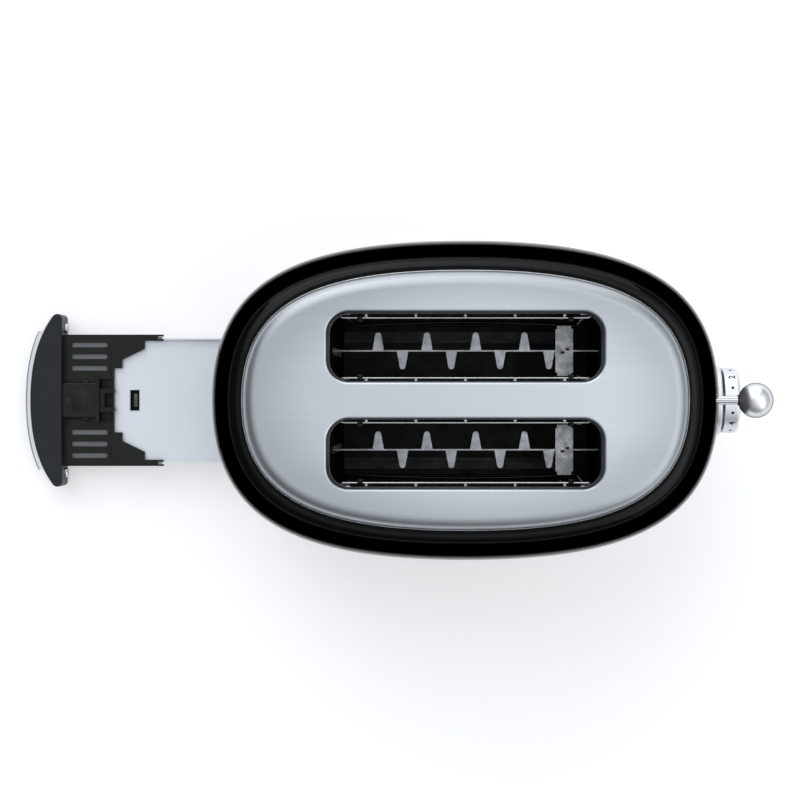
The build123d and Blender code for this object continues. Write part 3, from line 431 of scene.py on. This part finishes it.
def make_finishes():
    """The finishes by name: one for each slot of the record, and a few of the scene's own."""
    made = {}
    plate_half_x, plate_half_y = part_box("top_plate")[1][:2]

    gloss = Finish("shell_gloss", (0.0165, 0.0165, 0.0170), metallic=1, roughness=0.10)
    gloss.set("Specular Tint", (0, 0, 0, 1))
    gloss.rough(gloss.noise(0.03, detail=3), 0.02)
    gloss.bump(gloss.noise(0.006, detail=2), 0.00002)
    made["shell_gloss"] = gloss

    chrome = Finish("chrome_bright", (0.78, 0.79, 0.82), metallic=1, roughness=0.09)
    chrome.rough(chrome.noise(0.012), 0.04)
    chrome.tint(chrome.noise(0.025), (0.70, 0.71, 0.74))
    chrome.bump(chrome.noise(0.008, detail=2), 0.00001)
    chrome.set("Specular Tint", (0.55, 0.57, 0.60, 1))
    made["chrome_bright"] = chrome

    satin = Finish("lever_chrome", (0.80, 0.81, 0.83), metallic=0.92, roughness=0.30)
    satin.rough(satin.noise(0.008), 0.03)
    satin.tint(satin.noise(0.02), (0.75, 0.76, 0.78))
    satin.bump(satin.noise(0.0007, detail=3), 0.000003)
    satin.set("Specular Tint", (0, 0, 0, 1))
    made["lever_chrome"] = satin

    # painted highlight: a paler copy of the plate's steel for its rolled edge, so the edge shows a bright
    # line
    edge = Finish("edge_highlight_steel", (0.93, 0.95, 0.98), metallic=1, roughness=0.40)
    edge.rough(edge.noise(0.012), 0.04)
    edge.tint(edge.noise(0.02), (0.88, 0.90, 0.93))
    edge.bump(edge.noise(0.003, detail=2), 0.000004)
    made["edge_highlight_steel"] = edge

    plate = Finish("plate_steel", (0.528, 0.554, 0.588), metallic=1, roughness=0.36)
    plate.set("Specular Tint", (0.50, 0.53, 0.57, 1))
    plate.rough(plate.noise(0.02, (0.15, 1, 1)), 0.04)
    plate.tint(plate.noise(0.0012, (0.02, 1, 1), detail=6), (0.500, 0.525, 0.558))
    plate.bump(plate.noise(0.0010, (0.02, 1, 1), detail=2), 0.0000012)
    # painted shade: the plate darkens to 0.74 of its colour towards its rounded edge, where the dome turns
    # from the light
    plate.shade_outside((plate_half_x, plate_half_y), 0.35, 0.95, 0.74)
    made["plate_steel"] = plate

    # kept near black with little reflection; on the joint lining this is partly painted shade for the
    # recess
    seal = Finish("seal_black", grey(0.0025), roughness=0.62, specular=0.08)
    seal.rough(seal.noise(0.004), 0.08)
    seal.bump(seal.noise(0.0008), 0.00004)
    made["seal_black"] = seal

    floor = Finish("floor_black", grey(0.010), roughness=0.48, specular=0.35)
    floor.tint(floor.noise(0.018), grey(0.018))
    floor.rough(floor.noise(0.01), 0.1)
    floor.bump(floor.noise(0.0012), 0.00003)
    made["floor_black"] = floor

    rubber = Finish("foot_rubber", grey(0.020), roughness=0.75, specular=0.3)
    rubber.tint(rubber.noise(0.006), grey(0.030))
    rubber.bump(rubber.noise(0.0007), 0.00006)
    made["foot_rubber"] = rubber

    sheet = Finish("sheet_steel", (0.055, 0.058, 0.062), metallic=0.6, roughness=0.48)
    sheet.tint(sheet.cells(0.007), (0.085, 0.088, 0.092), 0.2, 0.8)
    sheet.rough(sheet.noise(0.012), 0.08)
    sheet.bump(sheet.noise(0.0015), 0.00002)
    made["sheet_steel"] = sheet

    dark = Finish("inner_dark", (0.006, 0.006, 0.006), roughness=0.62, specular=0.10)
    dark.tint(dark.noise(0.02), (0.012, 0.011, 0.011))
    dark.rough(dark.noise(0.01), 0.1)
    dark.bump(dark.noise(0.0012), 0.00002)
    made["inner_dark"] = dark

    mica = Finish("mica_board", (0.030, 0.027, 0.024), metallic=0.2, roughness=0.5)
    mica.tint(mica.cells(0.006, (1, 3, 1)), (0.055, 0.049, 0.042), 0.1, 0.9)
    mica.tint(mica.noise(0.03), (0.020, 0.017, 0.014))
    mica.bump(mica.cells(0.004, (1, 3, 1)), 0.00005)
    made["mica_board"] = mica

    ribbon = Finish("heater_ribbon", (0.050, 0.044, 0.040), metallic=0.8, roughness=0.42)
    ribbon.tint(ribbon.noise(0.012), (0.030, 0.025, 0.024))
    ribbon.bump(ribbon.noise(0.001), 0.00002)
    made["heater_ribbon"] = ribbon

    wires = Finish("guard_wire", (0.62, 0.63, 0.64), metallic=1, roughness=0.25)
    wires.tint(wires.noise(0.012), (0.45, 0.44, 0.43))
    wires.rough(wires.noise(0.006), 0.08)
    wires.bump(wires.noise(0.001), 0.00002)
    # painted shade: the wires darken to 0.07 of their colour below 168 mm, where they sit deep in the slot
    wires.shade_below("Z", 0.168, 0.012, 0.07)
    made["guard_wire"] = wires

    carrier = Finish("carrier_steel", (0.48, 0.49, 0.51), metallic=1, roughness=0.36)
    carrier.tint(carrier.noise(0.0009, detail=8), (0.30, 0.31, 0.33))
    carrier.rough(carrier.noise(0.004), 0.1)
    carrier.bump(carrier.noise(0.0009), 0.00005)
    made["carrier_steel"] = carrier

    knob = Finish("knob_metal", (0.76, 0.78, 0.81), metallic=0.9, roughness=0.40)
    knob.tint(knob.noise(0.0008, (0.05, 1, 1), detail=5), (0.70, 0.72, 0.75))
    knob.rough(knob.noise(0.006), 0.05)
    knob.bump(knob.noise(0.0005, (0.06, 1, 1)), 0.000006)
    made["knob_metal"] = knob

    handle = Finish("handle_black", (0.010, 0.013, 0.014), roughness=0.42, specular=0.25)
    handle.tint(handle.noise(0.010), (0.014, 0.017, 0.018))
    handle.rough(handle.noise(0.005), 0.06)
    handle.bump(handle.noise(0.0006), 0.00003)
    made["handle_black"] = handle

    rails = Finish("frame_black", (0.007, 0.007, 0.006), roughness=0.46, specular=0.22)
    rails.tint(rails.noise(0.010), (0.010, 0.011, 0.010))
    rails.rough(rails.noise(0.004), 0.07)
    rails.bump(rails.noise(0.0006), 0.00004)
    made["frame_black"] = rails

    alloy = Finish("tray_alloy", (0.735, 0.765, 0.808), metallic=0.5, roughness=0.40)
    alloy.tint(alloy.noise(0.0009, (0.06, 1, 1), detail=6), (0.708, 0.738, 0.782))
    alloy.rough(alloy.noise(0.01, (0.2, 1, 1)), 0.05)
    alloy.bump(alloy.noise(0.0005, (0.06, 1, 1)), 0.000003)
    # painted shade: the crumb plate darkens to 0.30 of its colour under the frame's end
    alloy.shade_below("X", object_x("crumb_plate", tray_shade_x), 0.003, 0.30)
    made["tray_alloy"] = alloy

    board = Finish("board_green", (0.012, 0.060, 0.022), roughness=0.35, specular=0.5)
    tracks = board.cells(0.005, feature="DISTANCE_TO_EDGE")
    board.tint(tracks, (0.020, 0.100, 0.035), 0.02, 0.1)
    board.bump(tracks, 0.00004)
    made["board_green"] = board

    coil = Finish("coil_copper", (0.45, 0.17, 0.07), metallic=1, roughness=0.32)
    wave = coil.add("ShaderNodeTexWave", wave_type="BANDS", bands_direction="Z")
    wave.inputs["Scale"].default_value = 600
    coil.link(coil.place((1, 1, 1)), wave.inputs["Vector"])
    coil.tint(wave.outputs["Fac"], (0.28, 0.10, 0.04), 0.2, 0.8)
    coil.bump(wave.outputs["Fac"], 0.0002)
    made["coil_copper"] = coil

    white = Finish("terminal_white", (0.60, 0.59, 0.55), roughness=0.45, specular=0.4)
    white.tint(white.noise(0.01), (0.52, 0.51, 0.47))
    white.bump(white.noise(0.001), 0.00003)
    made["terminal_white"] = white

    ink = Finish("ink_black", grey(0.006), roughness=0.45, specular=0.4)
    ink.rough(ink.noise(0.001), 0.1)
    ink.bump(ink.noise(0.0004), 0.00001)
    made["ink_black"] = ink
    return made


def dress_nodes(finishes):
    """Gives every carried-over node the finish that its record slot names, or the one that own_finish
    names for it.
    """
    for part in frame["record"]["subparts"]:
        mesh = frame["nodes"][part["node"]].data
        slot = own_finish.get(part["node"], part["material_slot"])
        mesh.materials.clear()
        mesh.materials.append(finishes[slot].material)


def make_piece(name, shape, slot):
    """Turns a mesh drawn in millimetres into a smooth object with a finish."""
    bmesh.ops.recalc_face_normals(shape, faces=shape.faces)
    mesh = bpy.data.meshes.new(name)
    shape.to_mesh(mesh)
    shape.free()
    mesh.transform(Matrix.Scale(mm, 4))
    mesh.polygons.foreach_set("use_smooth", [True] * len(mesh.polygons))
    mesh.materials.append(finishes[own_finish.get(name, slot)].material)
    piece = bpy.data.objects.new(name, mesh)
    bpy.context.scene.collection.objects.link(piece)
    return piece


def finish_piece(name, shape, slot, body):
    """Makes a piece that keeps its sharp edges and rides on a body."""
    piece = make_piece(name, shape, slot)
    piece.data.set_sharp_from_angle(angle=smooth_angle)
    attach(piece, body)


def add_tube(shape, route, radius, closed=False, sides=10):
    """A round bar along a route of points, its frame carried on from point to point."""
    route = [Vector(point) for point in route]
    count = len(route)
    rings = []
    across = None
    for index, point in enumerate(route):
        before = route[index - 1] if closed or index else point
        after = route[(index + 1) % count] if closed or index < count - 1 else point
        along = (after - before).normalized()
        if across is None:
            across = along.orthogonal().normalized()
        across = (across - along * across.dot(along)).normalized()
        up = along.cross(across)
        ring = []
        for side in range(sides):
            turn = 2 * math.pi * side / sides
            ring.append(shape.verts.new(point + radius * (math.cos(turn) * across + math.sin(turn) * up)))
        rings.append(ring)
    pairs = list(zip(rings, rings[1:]))
    if closed:
        pairs.append((rings[-1], rings[0]))
    for first, second in pairs:
        for side in range(sides):
            after = (side + 1) % sides
            shape.faces.new((first[side], first[after], second[after], second[side]))
    if not closed:
        shape.faces.new(rings[0][::-1])
        shape.faces.new(rings[-1])


def add_block(shape, centre, size, round_by, segments=3):
    """A box with rounded edges."""
    made = bmesh.ops.create_cube(shape, size=1.0)
    for vert in made["verts"]:
        vert.co = Vector(centre) + Vector([vert.co[axis] * size[axis] for axis in range(3)])
    edges = list({edge for vert in made["verts"] for edge in vert.link_edges})
    bmesh.ops.bevel(shape, geom=edges, offset=round_by, segments=segments, profile=0.5, affect="EDGES")


def add_turned(shape, profile, origin, axis, steps=48):
    """A turned form from (distance along the axis, radius) pairs; a radius of 0 closes it."""
    axis = Vector(axis)
    across = axis.orthogonal().normalized()
    up = axis.cross(across)
    rings = []
    for along, radius in profile:
        middle = Vector(origin) + axis * along
        if radius == 0:
            rings.append([shape.verts.new(middle)])
            continue
        ring = []
        for step in range(steps):
            turn = 2 * math.pi * step / steps
            ring.append(shape.verts.new(middle + radius * (math.cos(turn) * across + math.sin(turn) * up)))
        rings.append(ring)
    for first, second in zip(rings, rings[1:]):
        for step in range(steps):
            after = (step + 1) % steps
            if len(first) == 1:
                shape.faces.new((first[0], second[after], second[step]))
            elif len(second) == 1:
                shape.faces.new((first[step], first[after], second[0]))
            else:
                shape.faces.new((first[step], first[after], second[after], second[step]))


def add_band(shape, inner, outer, low_z, high_z):
    """A level ring of rectangular section between two closed routes."""
    rings = []
    for near, far in zip(inner, outer):
        corners = ((near, low_z), (far, low_z), (far, high_z), (near, high_z))
        rings.append([shape.verts.new((point[0], point[1], height)) for point, height in corners])
    for index, first in enumerate(rings):
        second = rings[(index + 1) % len(rings)]
        for side in range(4):
            after = (side + 1) % 4
            shape.faces.new((first[side], second[side], second[after], first[after]))


def oval_route(half_x, half_y, height, length_pull=0.67, width_pull=0.76, steps=40):
    """Points round the same oval as the CAD model's."""
    route = []
    for sign_x, sign_y, back in ((1, 1, False), (-1, 1, True), (-1, -1, False), (1, -1, True)):
        quarter = []
        for step in range(steps):
            part = 1 - step / steps if back else step / steps
            rest = 1 - part
            x = rest**3 + 3 * rest**2 * part + 3 * rest * part**2 * length_pull
            y = 3 * rest**2 * part * width_pull + 3 * rest * part**2 + part**3
            quarter.append((sign_x * half_x * x, sign_y * half_y * y, height))
        route += quarter
    return route


def rounded_route(centre_y, half_x, half_y, corner, height, steps=12):
    """Points round a rounded rectangle."""
    route = []
    for index, (sign_x, sign_y) in enumerate(((1, 1), (-1, 1), (-1, -1), (1, -1))):
        for step in range(steps + 1):
            turn = math.radians(90 * index + 90 * step / steps)
            x = sign_x * (half_x - corner) + corner * math.cos(turn)
            y = sign_y * (half_y - corner) + corner * math.sin(turn)
            route.append((x, centre_y + y, height))
    return route


def box_mm(node):
    """Lowest and highest corner of a CAD node in millimetres."""
    low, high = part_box(node)
    return Vector(low) / mm, Vector(high) / mm


def plate_details():
    """Rolled edge round the steel plate in a paler steel as a painted highlight, a black joint lining as
    painted shade for the recess, a bead on the shell's crest and slot hems.
    """
    low, high = box_mm("top_plate")
    edge = bmesh.new()
    route = oval_route(high.x - edge_inset, high.y - edge_inset, low.z + edge_rise)
    add_tube(edge, route, edge_radius, closed=True, sides=14)
    # the rolled edge takes its paler steel from own_finish, a painted highlight
    finish_piece("plate_rolled_edge", edge, "chrome_bright", "toaster_body")
    shell_top = box_mm("outer_shell")[1].z
    # painted shade: a flat black band over the shell's top, from the plate's edge to the crest, stands for
    # the shade in the recess there
    joint = bmesh.new()
    inner = oval_route(high.x + joint_gap, high.y + joint_gap, 0)
    outer = oval_route(high.x + joint_gap_x, high.y + joint_gap_y, 0)
    add_band(joint, inner, outer, shell_top - joint_drop, shell_top + joint_rise)
    finish_piece("joint_shade_lining", joint, "seal_black", "toaster_body")
    crest = bmesh.new()
    route = oval_route(high.x + crest_gap_x, high.y + crest_gap_y, shell_top - crest_drop)
    add_tube(crest, route, crest_radius, closed=True, sides=12)
    finish_piece("shell_crest_bead", crest, "shell_gloss", "toaster_body")
    for side, name in ((1, "left"), (-1, "right")):
        hem = bmesh.new()
        route = rounded_route(side * slot_offset_y, hem_half_x, hem_half_y, hem_corner, low.z + hem_rise)
        add_tube(hem, route, hem_radius, closed=True)
        finish_piece(f"{name}_slot_hem", hem, "sheet_steel", "toaster_body")


def guard_details():
    """Hooked ends on the guards' top wires and the small clamps that hold them."""
    for side, side_name in ((1, "left"), (-1, "right")):
        for way, way_name in ((side, "outer"), (-side, "inner")):
            guard_y = side * slot_offset_y + way * guard_offset_y
            cross_y = guard_y - way * guard_cross_inset
            body = f"{side_name}_{way_name}_guard_grid"
            hooks = bmesh.new()
            for end in (-1, 1):
                start = Vector((end * (guard_half_length - 0.3), cross_y, guard_top_z))
                route = [start]
                for step in range(1, 9):
                    turn = math.radians(180 * step / 8)
                    out_x = end * hook_reach * math.sin(turn)
                    out_y = way * hook_half_width * (1 - math.cos(turn))
                    route.append(start + Vector((out_x, out_y, 0)))
                route.append(route[-1] + Vector((-end * hook_tail, 0, 0)))
                add_tube(hooks, route, hook_radius)
            finish_piece(f"{side_name}_{way_name}_guard_hooks", hooks, "guard_wire", body)
            clamps = bmesh.new()
            for end in (-1, 1):
                add_block(clamps, (end * clamp_x, cross_y - way * 1.1, guard_top_z - 0.4), clamp_size, 0.5)
            finish_piece(f"{side_name}_{way_name}_guard_clamps", clamps, "frame_black", body)


def carrier_details():
    """Black blocks round the twisted tab on each carrier's cross strip, painted shade for the cut there.
    """
    for side, name in ((1, "left"), (-1, "right")):
        slot_y = side * slot_offset_y
        cut = bmesh.new()
        for end in (-1, 1):
            place = (strip_centre_x + 0.4 + end * 1.5, slot_y + end * 0.95, carrier_top_z + 0.08)
            add_block(cut, place, strip_cut_size, 0.12, 2)
        # painted shade: the black blocks stand for the shade in the cut round the tab
        finish_piece(f"{name}_strip_cut", cut, "ink_black", "lever_carriage")


def lever_details():
    """Collar where the stem enters the ball, and fine grooves along the stem."""
    ball_low, ball_high = box_mm("lever_ball")
    middle_z = (ball_low.z + ball_high.z) / 2
    collar = bmesh.new()
    profile = ((0, 2.5), (0, 2.9), (0.3, 3.1), (1.1, 3.1), (1.4, 2.9), (1.4, 2.5), (0, 2.5))
    add_turned(collar, profile, (ball_low.x - 0.9, 0, middle_z), along_x)
    finish_piece("ball_collar", collar, "ink_black", "lever_carriage")
    start_x = box_mm("lever_arm")[0].x + 5.0
    grooves = bmesh.new()
    for side in (-1, 0, 1):
        turn = math.radians(groove_turn * side)
        place = (groove_lift * math.sin(turn), middle_z + groove_lift * math.cos(turn))
        add_tube(grooves, ((start_x, *place), (ball_low.x - 1.0, *place)), groove_radius, sides=8)
    finish_piece("stem_grooves", grooves, "sheet_steel", "lever_carriage")


def lever_spring():
    """The return spring between the slider and the bracket above it, drawn as a coil of wire in the CAD
    spring's box; the CAD spring is hidden.
    """
    low, high = box_mm("lift_spring")
    centre = ((low.x + high.x) / 2, (low.y + high.y) / 2)
    coil = (high.x - low.x) / 2 - spring_wire
    count = spring_turns * spring_steps
    spring = bmesh.new()
    route = []
    for step in range(count + 1):
        turn = 2 * math.pi * step / spring_steps
        height = low.z + spring_wire + (high.z - low.z - 2 * spring_wire) * step / count
        route.append((centre[0] + coil * math.cos(turn), centre[1] + coil * math.sin(turn), height))
    add_tube(spring, route, spring_wire, sides=8)
    piece = make_piece("moving_spring", spring, "sheet_steel")
    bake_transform(piece)
    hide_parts("lift_spring")


def add_digit(ink, number, centre, radius, middle_x):
    """A number bent round the knob, its top towards the knob's front."""
    curve = bpy.data.curves.new("digit", "FONT")
    curve.body = str(number)
    curve.extrude = digit_depth
    curve.offset = digit_swell
    curve.resolution_u = 6
    source = bpy.data.objects.new("digit", curve)
    mesh = bpy.data.meshes.new_from_object(source)
    corners = [vert.co.copy() for vert in mesh.vertices]
    low_u, high_u = min(c.x for c in corners), max(c.x for c in corners)
    low_v, high_v = min(c.y for c in corners), max(c.y for c in corners)
    size = digit_height / (high_v - low_v)
    start = math.radians(dial_step * (top_digit - number))
    for vert in mesh.vertices:
        turn = start + (vert.co.x - (low_u + high_u) / 2) * size / radius
        out = radius + (ink_rise if vert.co.z > 0 else -ink_rise)
        x = middle_x - (vert.co.y - (low_v + high_v) / 2) * size
        vert.co = Vector((x, centre.y + out * math.sin(turn), centre.z + out * math.cos(turn)))
    ink.from_mesh(mesh)
    bpy.data.objects.remove(source)
    bpy.data.curves.remove(curve)
    bpy.data.meshes.remove(mesh)


def dial_details():
    """Numbers round the knob with dots between them, a turned face, a pointer and a mark on the bezel."""
    low, high = box_mm("browning_knob")
    radius = (high.y - low.y) / 2
    centre = Vector((0, 0, (low.z + high.z) / 2))
    middle_x = low.x + dial_middle
    ink = bmesh.new()
    for number in range(1, digit_count + 1):
        add_digit(ink, number, centre, radius, middle_x)
    dot = ((-ink_rise, 0), (-ink_rise, dot_radius), (ink_rise, dot_radius - 0.05), (ink_rise, 0))
    for number in range(digit_count - 1, 0, -1):
        turn = math.radians((top_digit - number - 0.5) * dial_step)
        axis = Vector((0, math.sin(turn), math.cos(turn)))
        place = centre + axis * radius + Vector((middle_x, 0, 0))
        add_turned(ink, dot, place, axis, 16)
    finish_piece("dial_numbers", ink, "ink_black", "browning_dial")
    face = bmesh.new()
    profile = [(0.0, 0), (0.0, 3.0), (0.35, 3.3), (0.35, 6.0)]
    for ridge in range(face_ridges):
        start = ridge_start + ridge_step * ridge
        profile += [(0.35, start + 0.2), (0.2, start + 0.5), (0.2, start + 0.9), (0.35, start + 1.2)]
    profile += [(0.35, 17.4), (0.25, 17.7), (-0.1, 17.8)]
    add_turned(face, profile, (high.x - 0.1, 0, centre.z), along_x, 64)
    finish_piece("dial_face", face, "knob_metal", "browning_dial")
    pointer = bmesh.new()
    add_block(pointer, (high.x + 0.2, 0, centre.z + pointer_rise), (0.5, 1.3, 6.0), 0.2, 2)
    finish_piece("dial_pointer", pointer, "ink_black", "browning_dial")
    bezel_low, bezel_high = box_mm("knob_bezel")
    bezel_radius = (bezel_high.z - bezel_low.z) / 2
    mark = bmesh.new()
    add_block(mark, (bezel_high.x - 3.0, 0, centre.z + bezel_radius), (2.6, 0.8, 0.12), 0.05, 1)
    finish_piece("bezel_mark", mark, "ink_black", "toaster_body")


def button_details():
    """A raised ring and a dished middle on each push button's face."""
    profile = ((-0.1, 4.3), (0.25, 4.2), (0.35, 3.9), (0.25, 3.6), (0.0, 3.3), (0.08, 1.5), (0.1, 0))
    for name in ("stop_button", "reheat_button", "defrost_button", "bagel_button"):
        low, high = box_mm(name)
        ring = bmesh.new()
        add_turned(ring, profile, (high.x, (low.y + high.y) / 2, (low.z + high.z) / 2), along_x, 40)
        finish_piece(f"{name}_face", ring, "chrome_bright", f"{name}_cap")


def tray_block(name, slot, place, size, round_by):
    """One rounded block that rides on the crumb tray."""
    block = bmesh.new()
    add_block(block, place, size, round_by, 2)
    finish_piece(name, block, slot, "crumb_tray")


def tray_details():
    """Ribs, clamps and panels on the latch, ridges on the frame, and a well and rim at the hole."""
    latch_x = box_mm("latch_housing")[0].x
    ribs = bmesh.new()
    clamps = bmesh.new()
    ridges = bmesh.new()
    for side in (-1, 1):
        for step in range(4):
            centre = (latch_x + 3.0 + 3.6 * step, side * (latch_half_y + 0.35), tray_frame_top_z + 1.6)
            add_block(ribs, centre, (0.9, 0.9, 3.2), 0.2, 2)
        add_block(clamps, (latch_clamp_x, side * (latch_half_y + 0.5), 20.4), (4.4, 2.2, 3.2), 0.5)
        add_block(clamps, (latch_clamp_x, side * (latch_half_y - 0.9), 22.6), (2.6, 1.6, 0.9), 0.3, 2)
        add_block(ridges, (-230.9, side * 27.6, tray_frame_top_z + 0.1), (0.9, 23.2, 0.5), 0.15, 2)
        add_block(ridges, (-212.6, side * 40.8, tray_frame_top_z), (30.0, 0.8, 0.3), 0.08, 2)
        add_block(ridges, (-260.0, side * 28.0, tray_frame_top_z + 0.1), (0.9, 24.0, 0.5), 0.15, 2)
    finish_piece("latch_ribs", ribs, "frame_black", "crumb_tray")
    finish_piece("latch_clamps", clamps, "frame_black", "crumb_tray")
    tray_block("latch_window", "ink_black", (-257.6, 0, 22.5), (2.2, 3.6, 0.3), 0.1)
    tray_block("latch_panel", "frame_black", (-250.2, 0, 22.55), (10.0, 13.0, 0.35), 0.12)
    finish_piece("frame_ridges", ridges, "frame_black", "crumb_tray")
    tray_block("hole_well", "seal_black", (hole_x, 0, tray_plate_z - 0.65), (8.0, 15.4, 1.3), 0.3)
    tray_block("hole_stop", "sheet_steel", (hole_x + 0.6, 0, tray_plate_z + 0.2), (2.4, 8.6, 1.0), 0.3)
    rim = bmesh.new()
    corners = ((1, 1), (-1, 1), (-1, -1), (1, -1))
    route = [(hole_x + x * hole_half_x, y * hole_half_y, tray_plate_z + 0.8) for x, y in corners]
    add_tube(rim, route, 0.3, closed=True, sides=8)
    finish_piece("hole_rim", rim, "tray_alloy", "crumb_tray")


def add_cross(shape, place, length, width):
    """A cross of two thin blocks on a screw's head; in black, it is painted shade for the cross recess."""
    for size in ((length, width, 0.3), (width, length, 0.3)):
        add_block(shape, place, size, 0.1, 1)


def underside_details():
    """Louvres and screws below the pan, black sheets in the louvres' openings and black crosses in the
    screws as painted shade, and treads on the feet.
    """
    pan_z = box_mm("base_pan")[0].z
    louvres = bmesh.new()
    openings = bmesh.new()
    for side in (-1, 1):
        for row in range(louvre_rows):
            row_x = louvre_start_x + louvre_step * row
            row_y = side * louvre_offset_y
            add_block(louvres, (row_x, row_y, pan_z + 0.1), (3.2, 34.0, 1.6), 0.7, 4)
            add_block(openings, (row_x + 2.4, row_y, pan_z), (1.4, 32.0, 0.2), 0.08, 1)
    finish_piece("pan_louvres", louvres, "floor_black", "toaster_body")
    # painted shade: the thin black sheets beside the louvres stand for the shade in their openings
    finish_piece("pan_louvre_openings", openings, "ink_black", "toaster_body")
    screws = bmesh.new()
    crosses = bmesh.new()
    head = ((0, 0), (0, 3.0), (-0.5, 2.9), (-1.1, 2.1), (-1.3, 0))
    for x, y in pan_screw_places:
        add_turned(screws, head, (x, y, pan_z), along_z, 32)
        add_cross(crosses, (x, y, pan_z - 1.22), 3.2, 0.7)
    screw_z = box_mm("foot_screws")[0].z
    treads = bmesh.new()
    for side_x in (-1, 1):
        for side_y in (-1, 1):
            add_cross(crosses, (side_x * foot_x, side_y * foot_y, screw_z), 3.4, 0.9)
            for radius in tread_rings:
                route = []
                for step in range(40):
                    turn = 2 * math.pi * step / 40
                    x = side_x * foot_x + radius * math.cos(turn)
                    route.append((x, side_y * foot_y + radius * math.sin(turn), tread_radius + 0.02))
                add_tube(treads, route, tread_radius, closed=True, sides=8)
    finish_piece("pan_screws", screws, "sheet_steel", "toaster_body")
    # painted shade: the black crosses stand for the shade in the screws' cross recesses
    finish_piece("screw_crosses", crosses, "ink_black", "toaster_body")
    finish_piece("foot_treads", treads, "foot_rubber", "toaster_body")


def inside_details():
    """Components on the circuit board, and the leads between it and the terminal block."""
    board_x = box_mm("circuit_board")[0].x
    parts = bmesh.new()
    for y, z, width, height in ((28, 66, 12, 9), (-27, 64, 9, 14), (-30, 42, 10, 8)):
        add_block(parts, (board_x - 1.9, y, z), (3.8, width, height), 0.5, 2)
    finish_piece("board_parts", parts, "frame_black", "toaster_body")
    cans = bmesh.new()
    can = ((0, 0), (0, 2.6), (-0.6, 2.8), (-3.4, 2.8), (-3.8, 2.5), (-3.8, 0))
    for y, z in ((22, 46), (33, 47)):
        add_turned(cans, can, (board_x, y, z), along_x, 28)
    finish_piece("board_cans", cans, "sheet_steel", "toaster_body")
    low, high = box_mm("terminal_block")
    leads = bmesh.new()
    heads = bmesh.new()
    head = ((0, 0), (0, 1.7), (-0.5, 1.7), (-0.8, 0))
    for place in (-1, 0, 1):
        start_x = (low.x + high.x) / 2 + place * (high.x - low.x) / 3
        apart = 3 * place
        corners = (
            (start_x, 66, high.z - 3),
            (start_x + 4, 66.5, high.z + 3),
            (30 + apart, 69, 24 + apart),
            (70 + apart, 67, 23 + apart),
            (104 + apart, 50, 25 + apart),
            (board_x - 1, 36, 20 + 2 * apart),
        )
        add_tube(leads, smooth_route(corners), lead_radius)
        add_turned(heads, head, (start_x, low.y - 0.02, high.z - 4), along_y, 24)
    finish_piece("supply_leads", leads, "foot_rubber", "toaster_body")
    finish_piece("terminal_screws", heads, "coil_copper", "toaster_body")


def smooth_route(corners, steps=10):
    """A smooth curve through given points."""
    points = [Vector(corner) for corner in corners]
    padded = [points[0], *points, points[-1]]
    route = []
    for index in range(len(points) - 1):
        before, start, end, after = padded[index : index + 4]
        for step in range(steps):
            part = step / steps
            slope = (end - before) * part
            bend = (2 * before - 5 * start + 4 * end - after) * part**2
            twist = (3 * start - before - 3 * end + after) * part**3
            route.append((2 * start + slope + bend + twist) / 2)
    return route + [points[-1]]


make_camera()
make_studio()
finishes = make_finishes()
dress_nodes(finishes)
plate_details()
guard_details()
carrier_details()
lever_details()
lever_spring()
dial_details()
button_details()
tray_details()
underside_details()
inside_details()
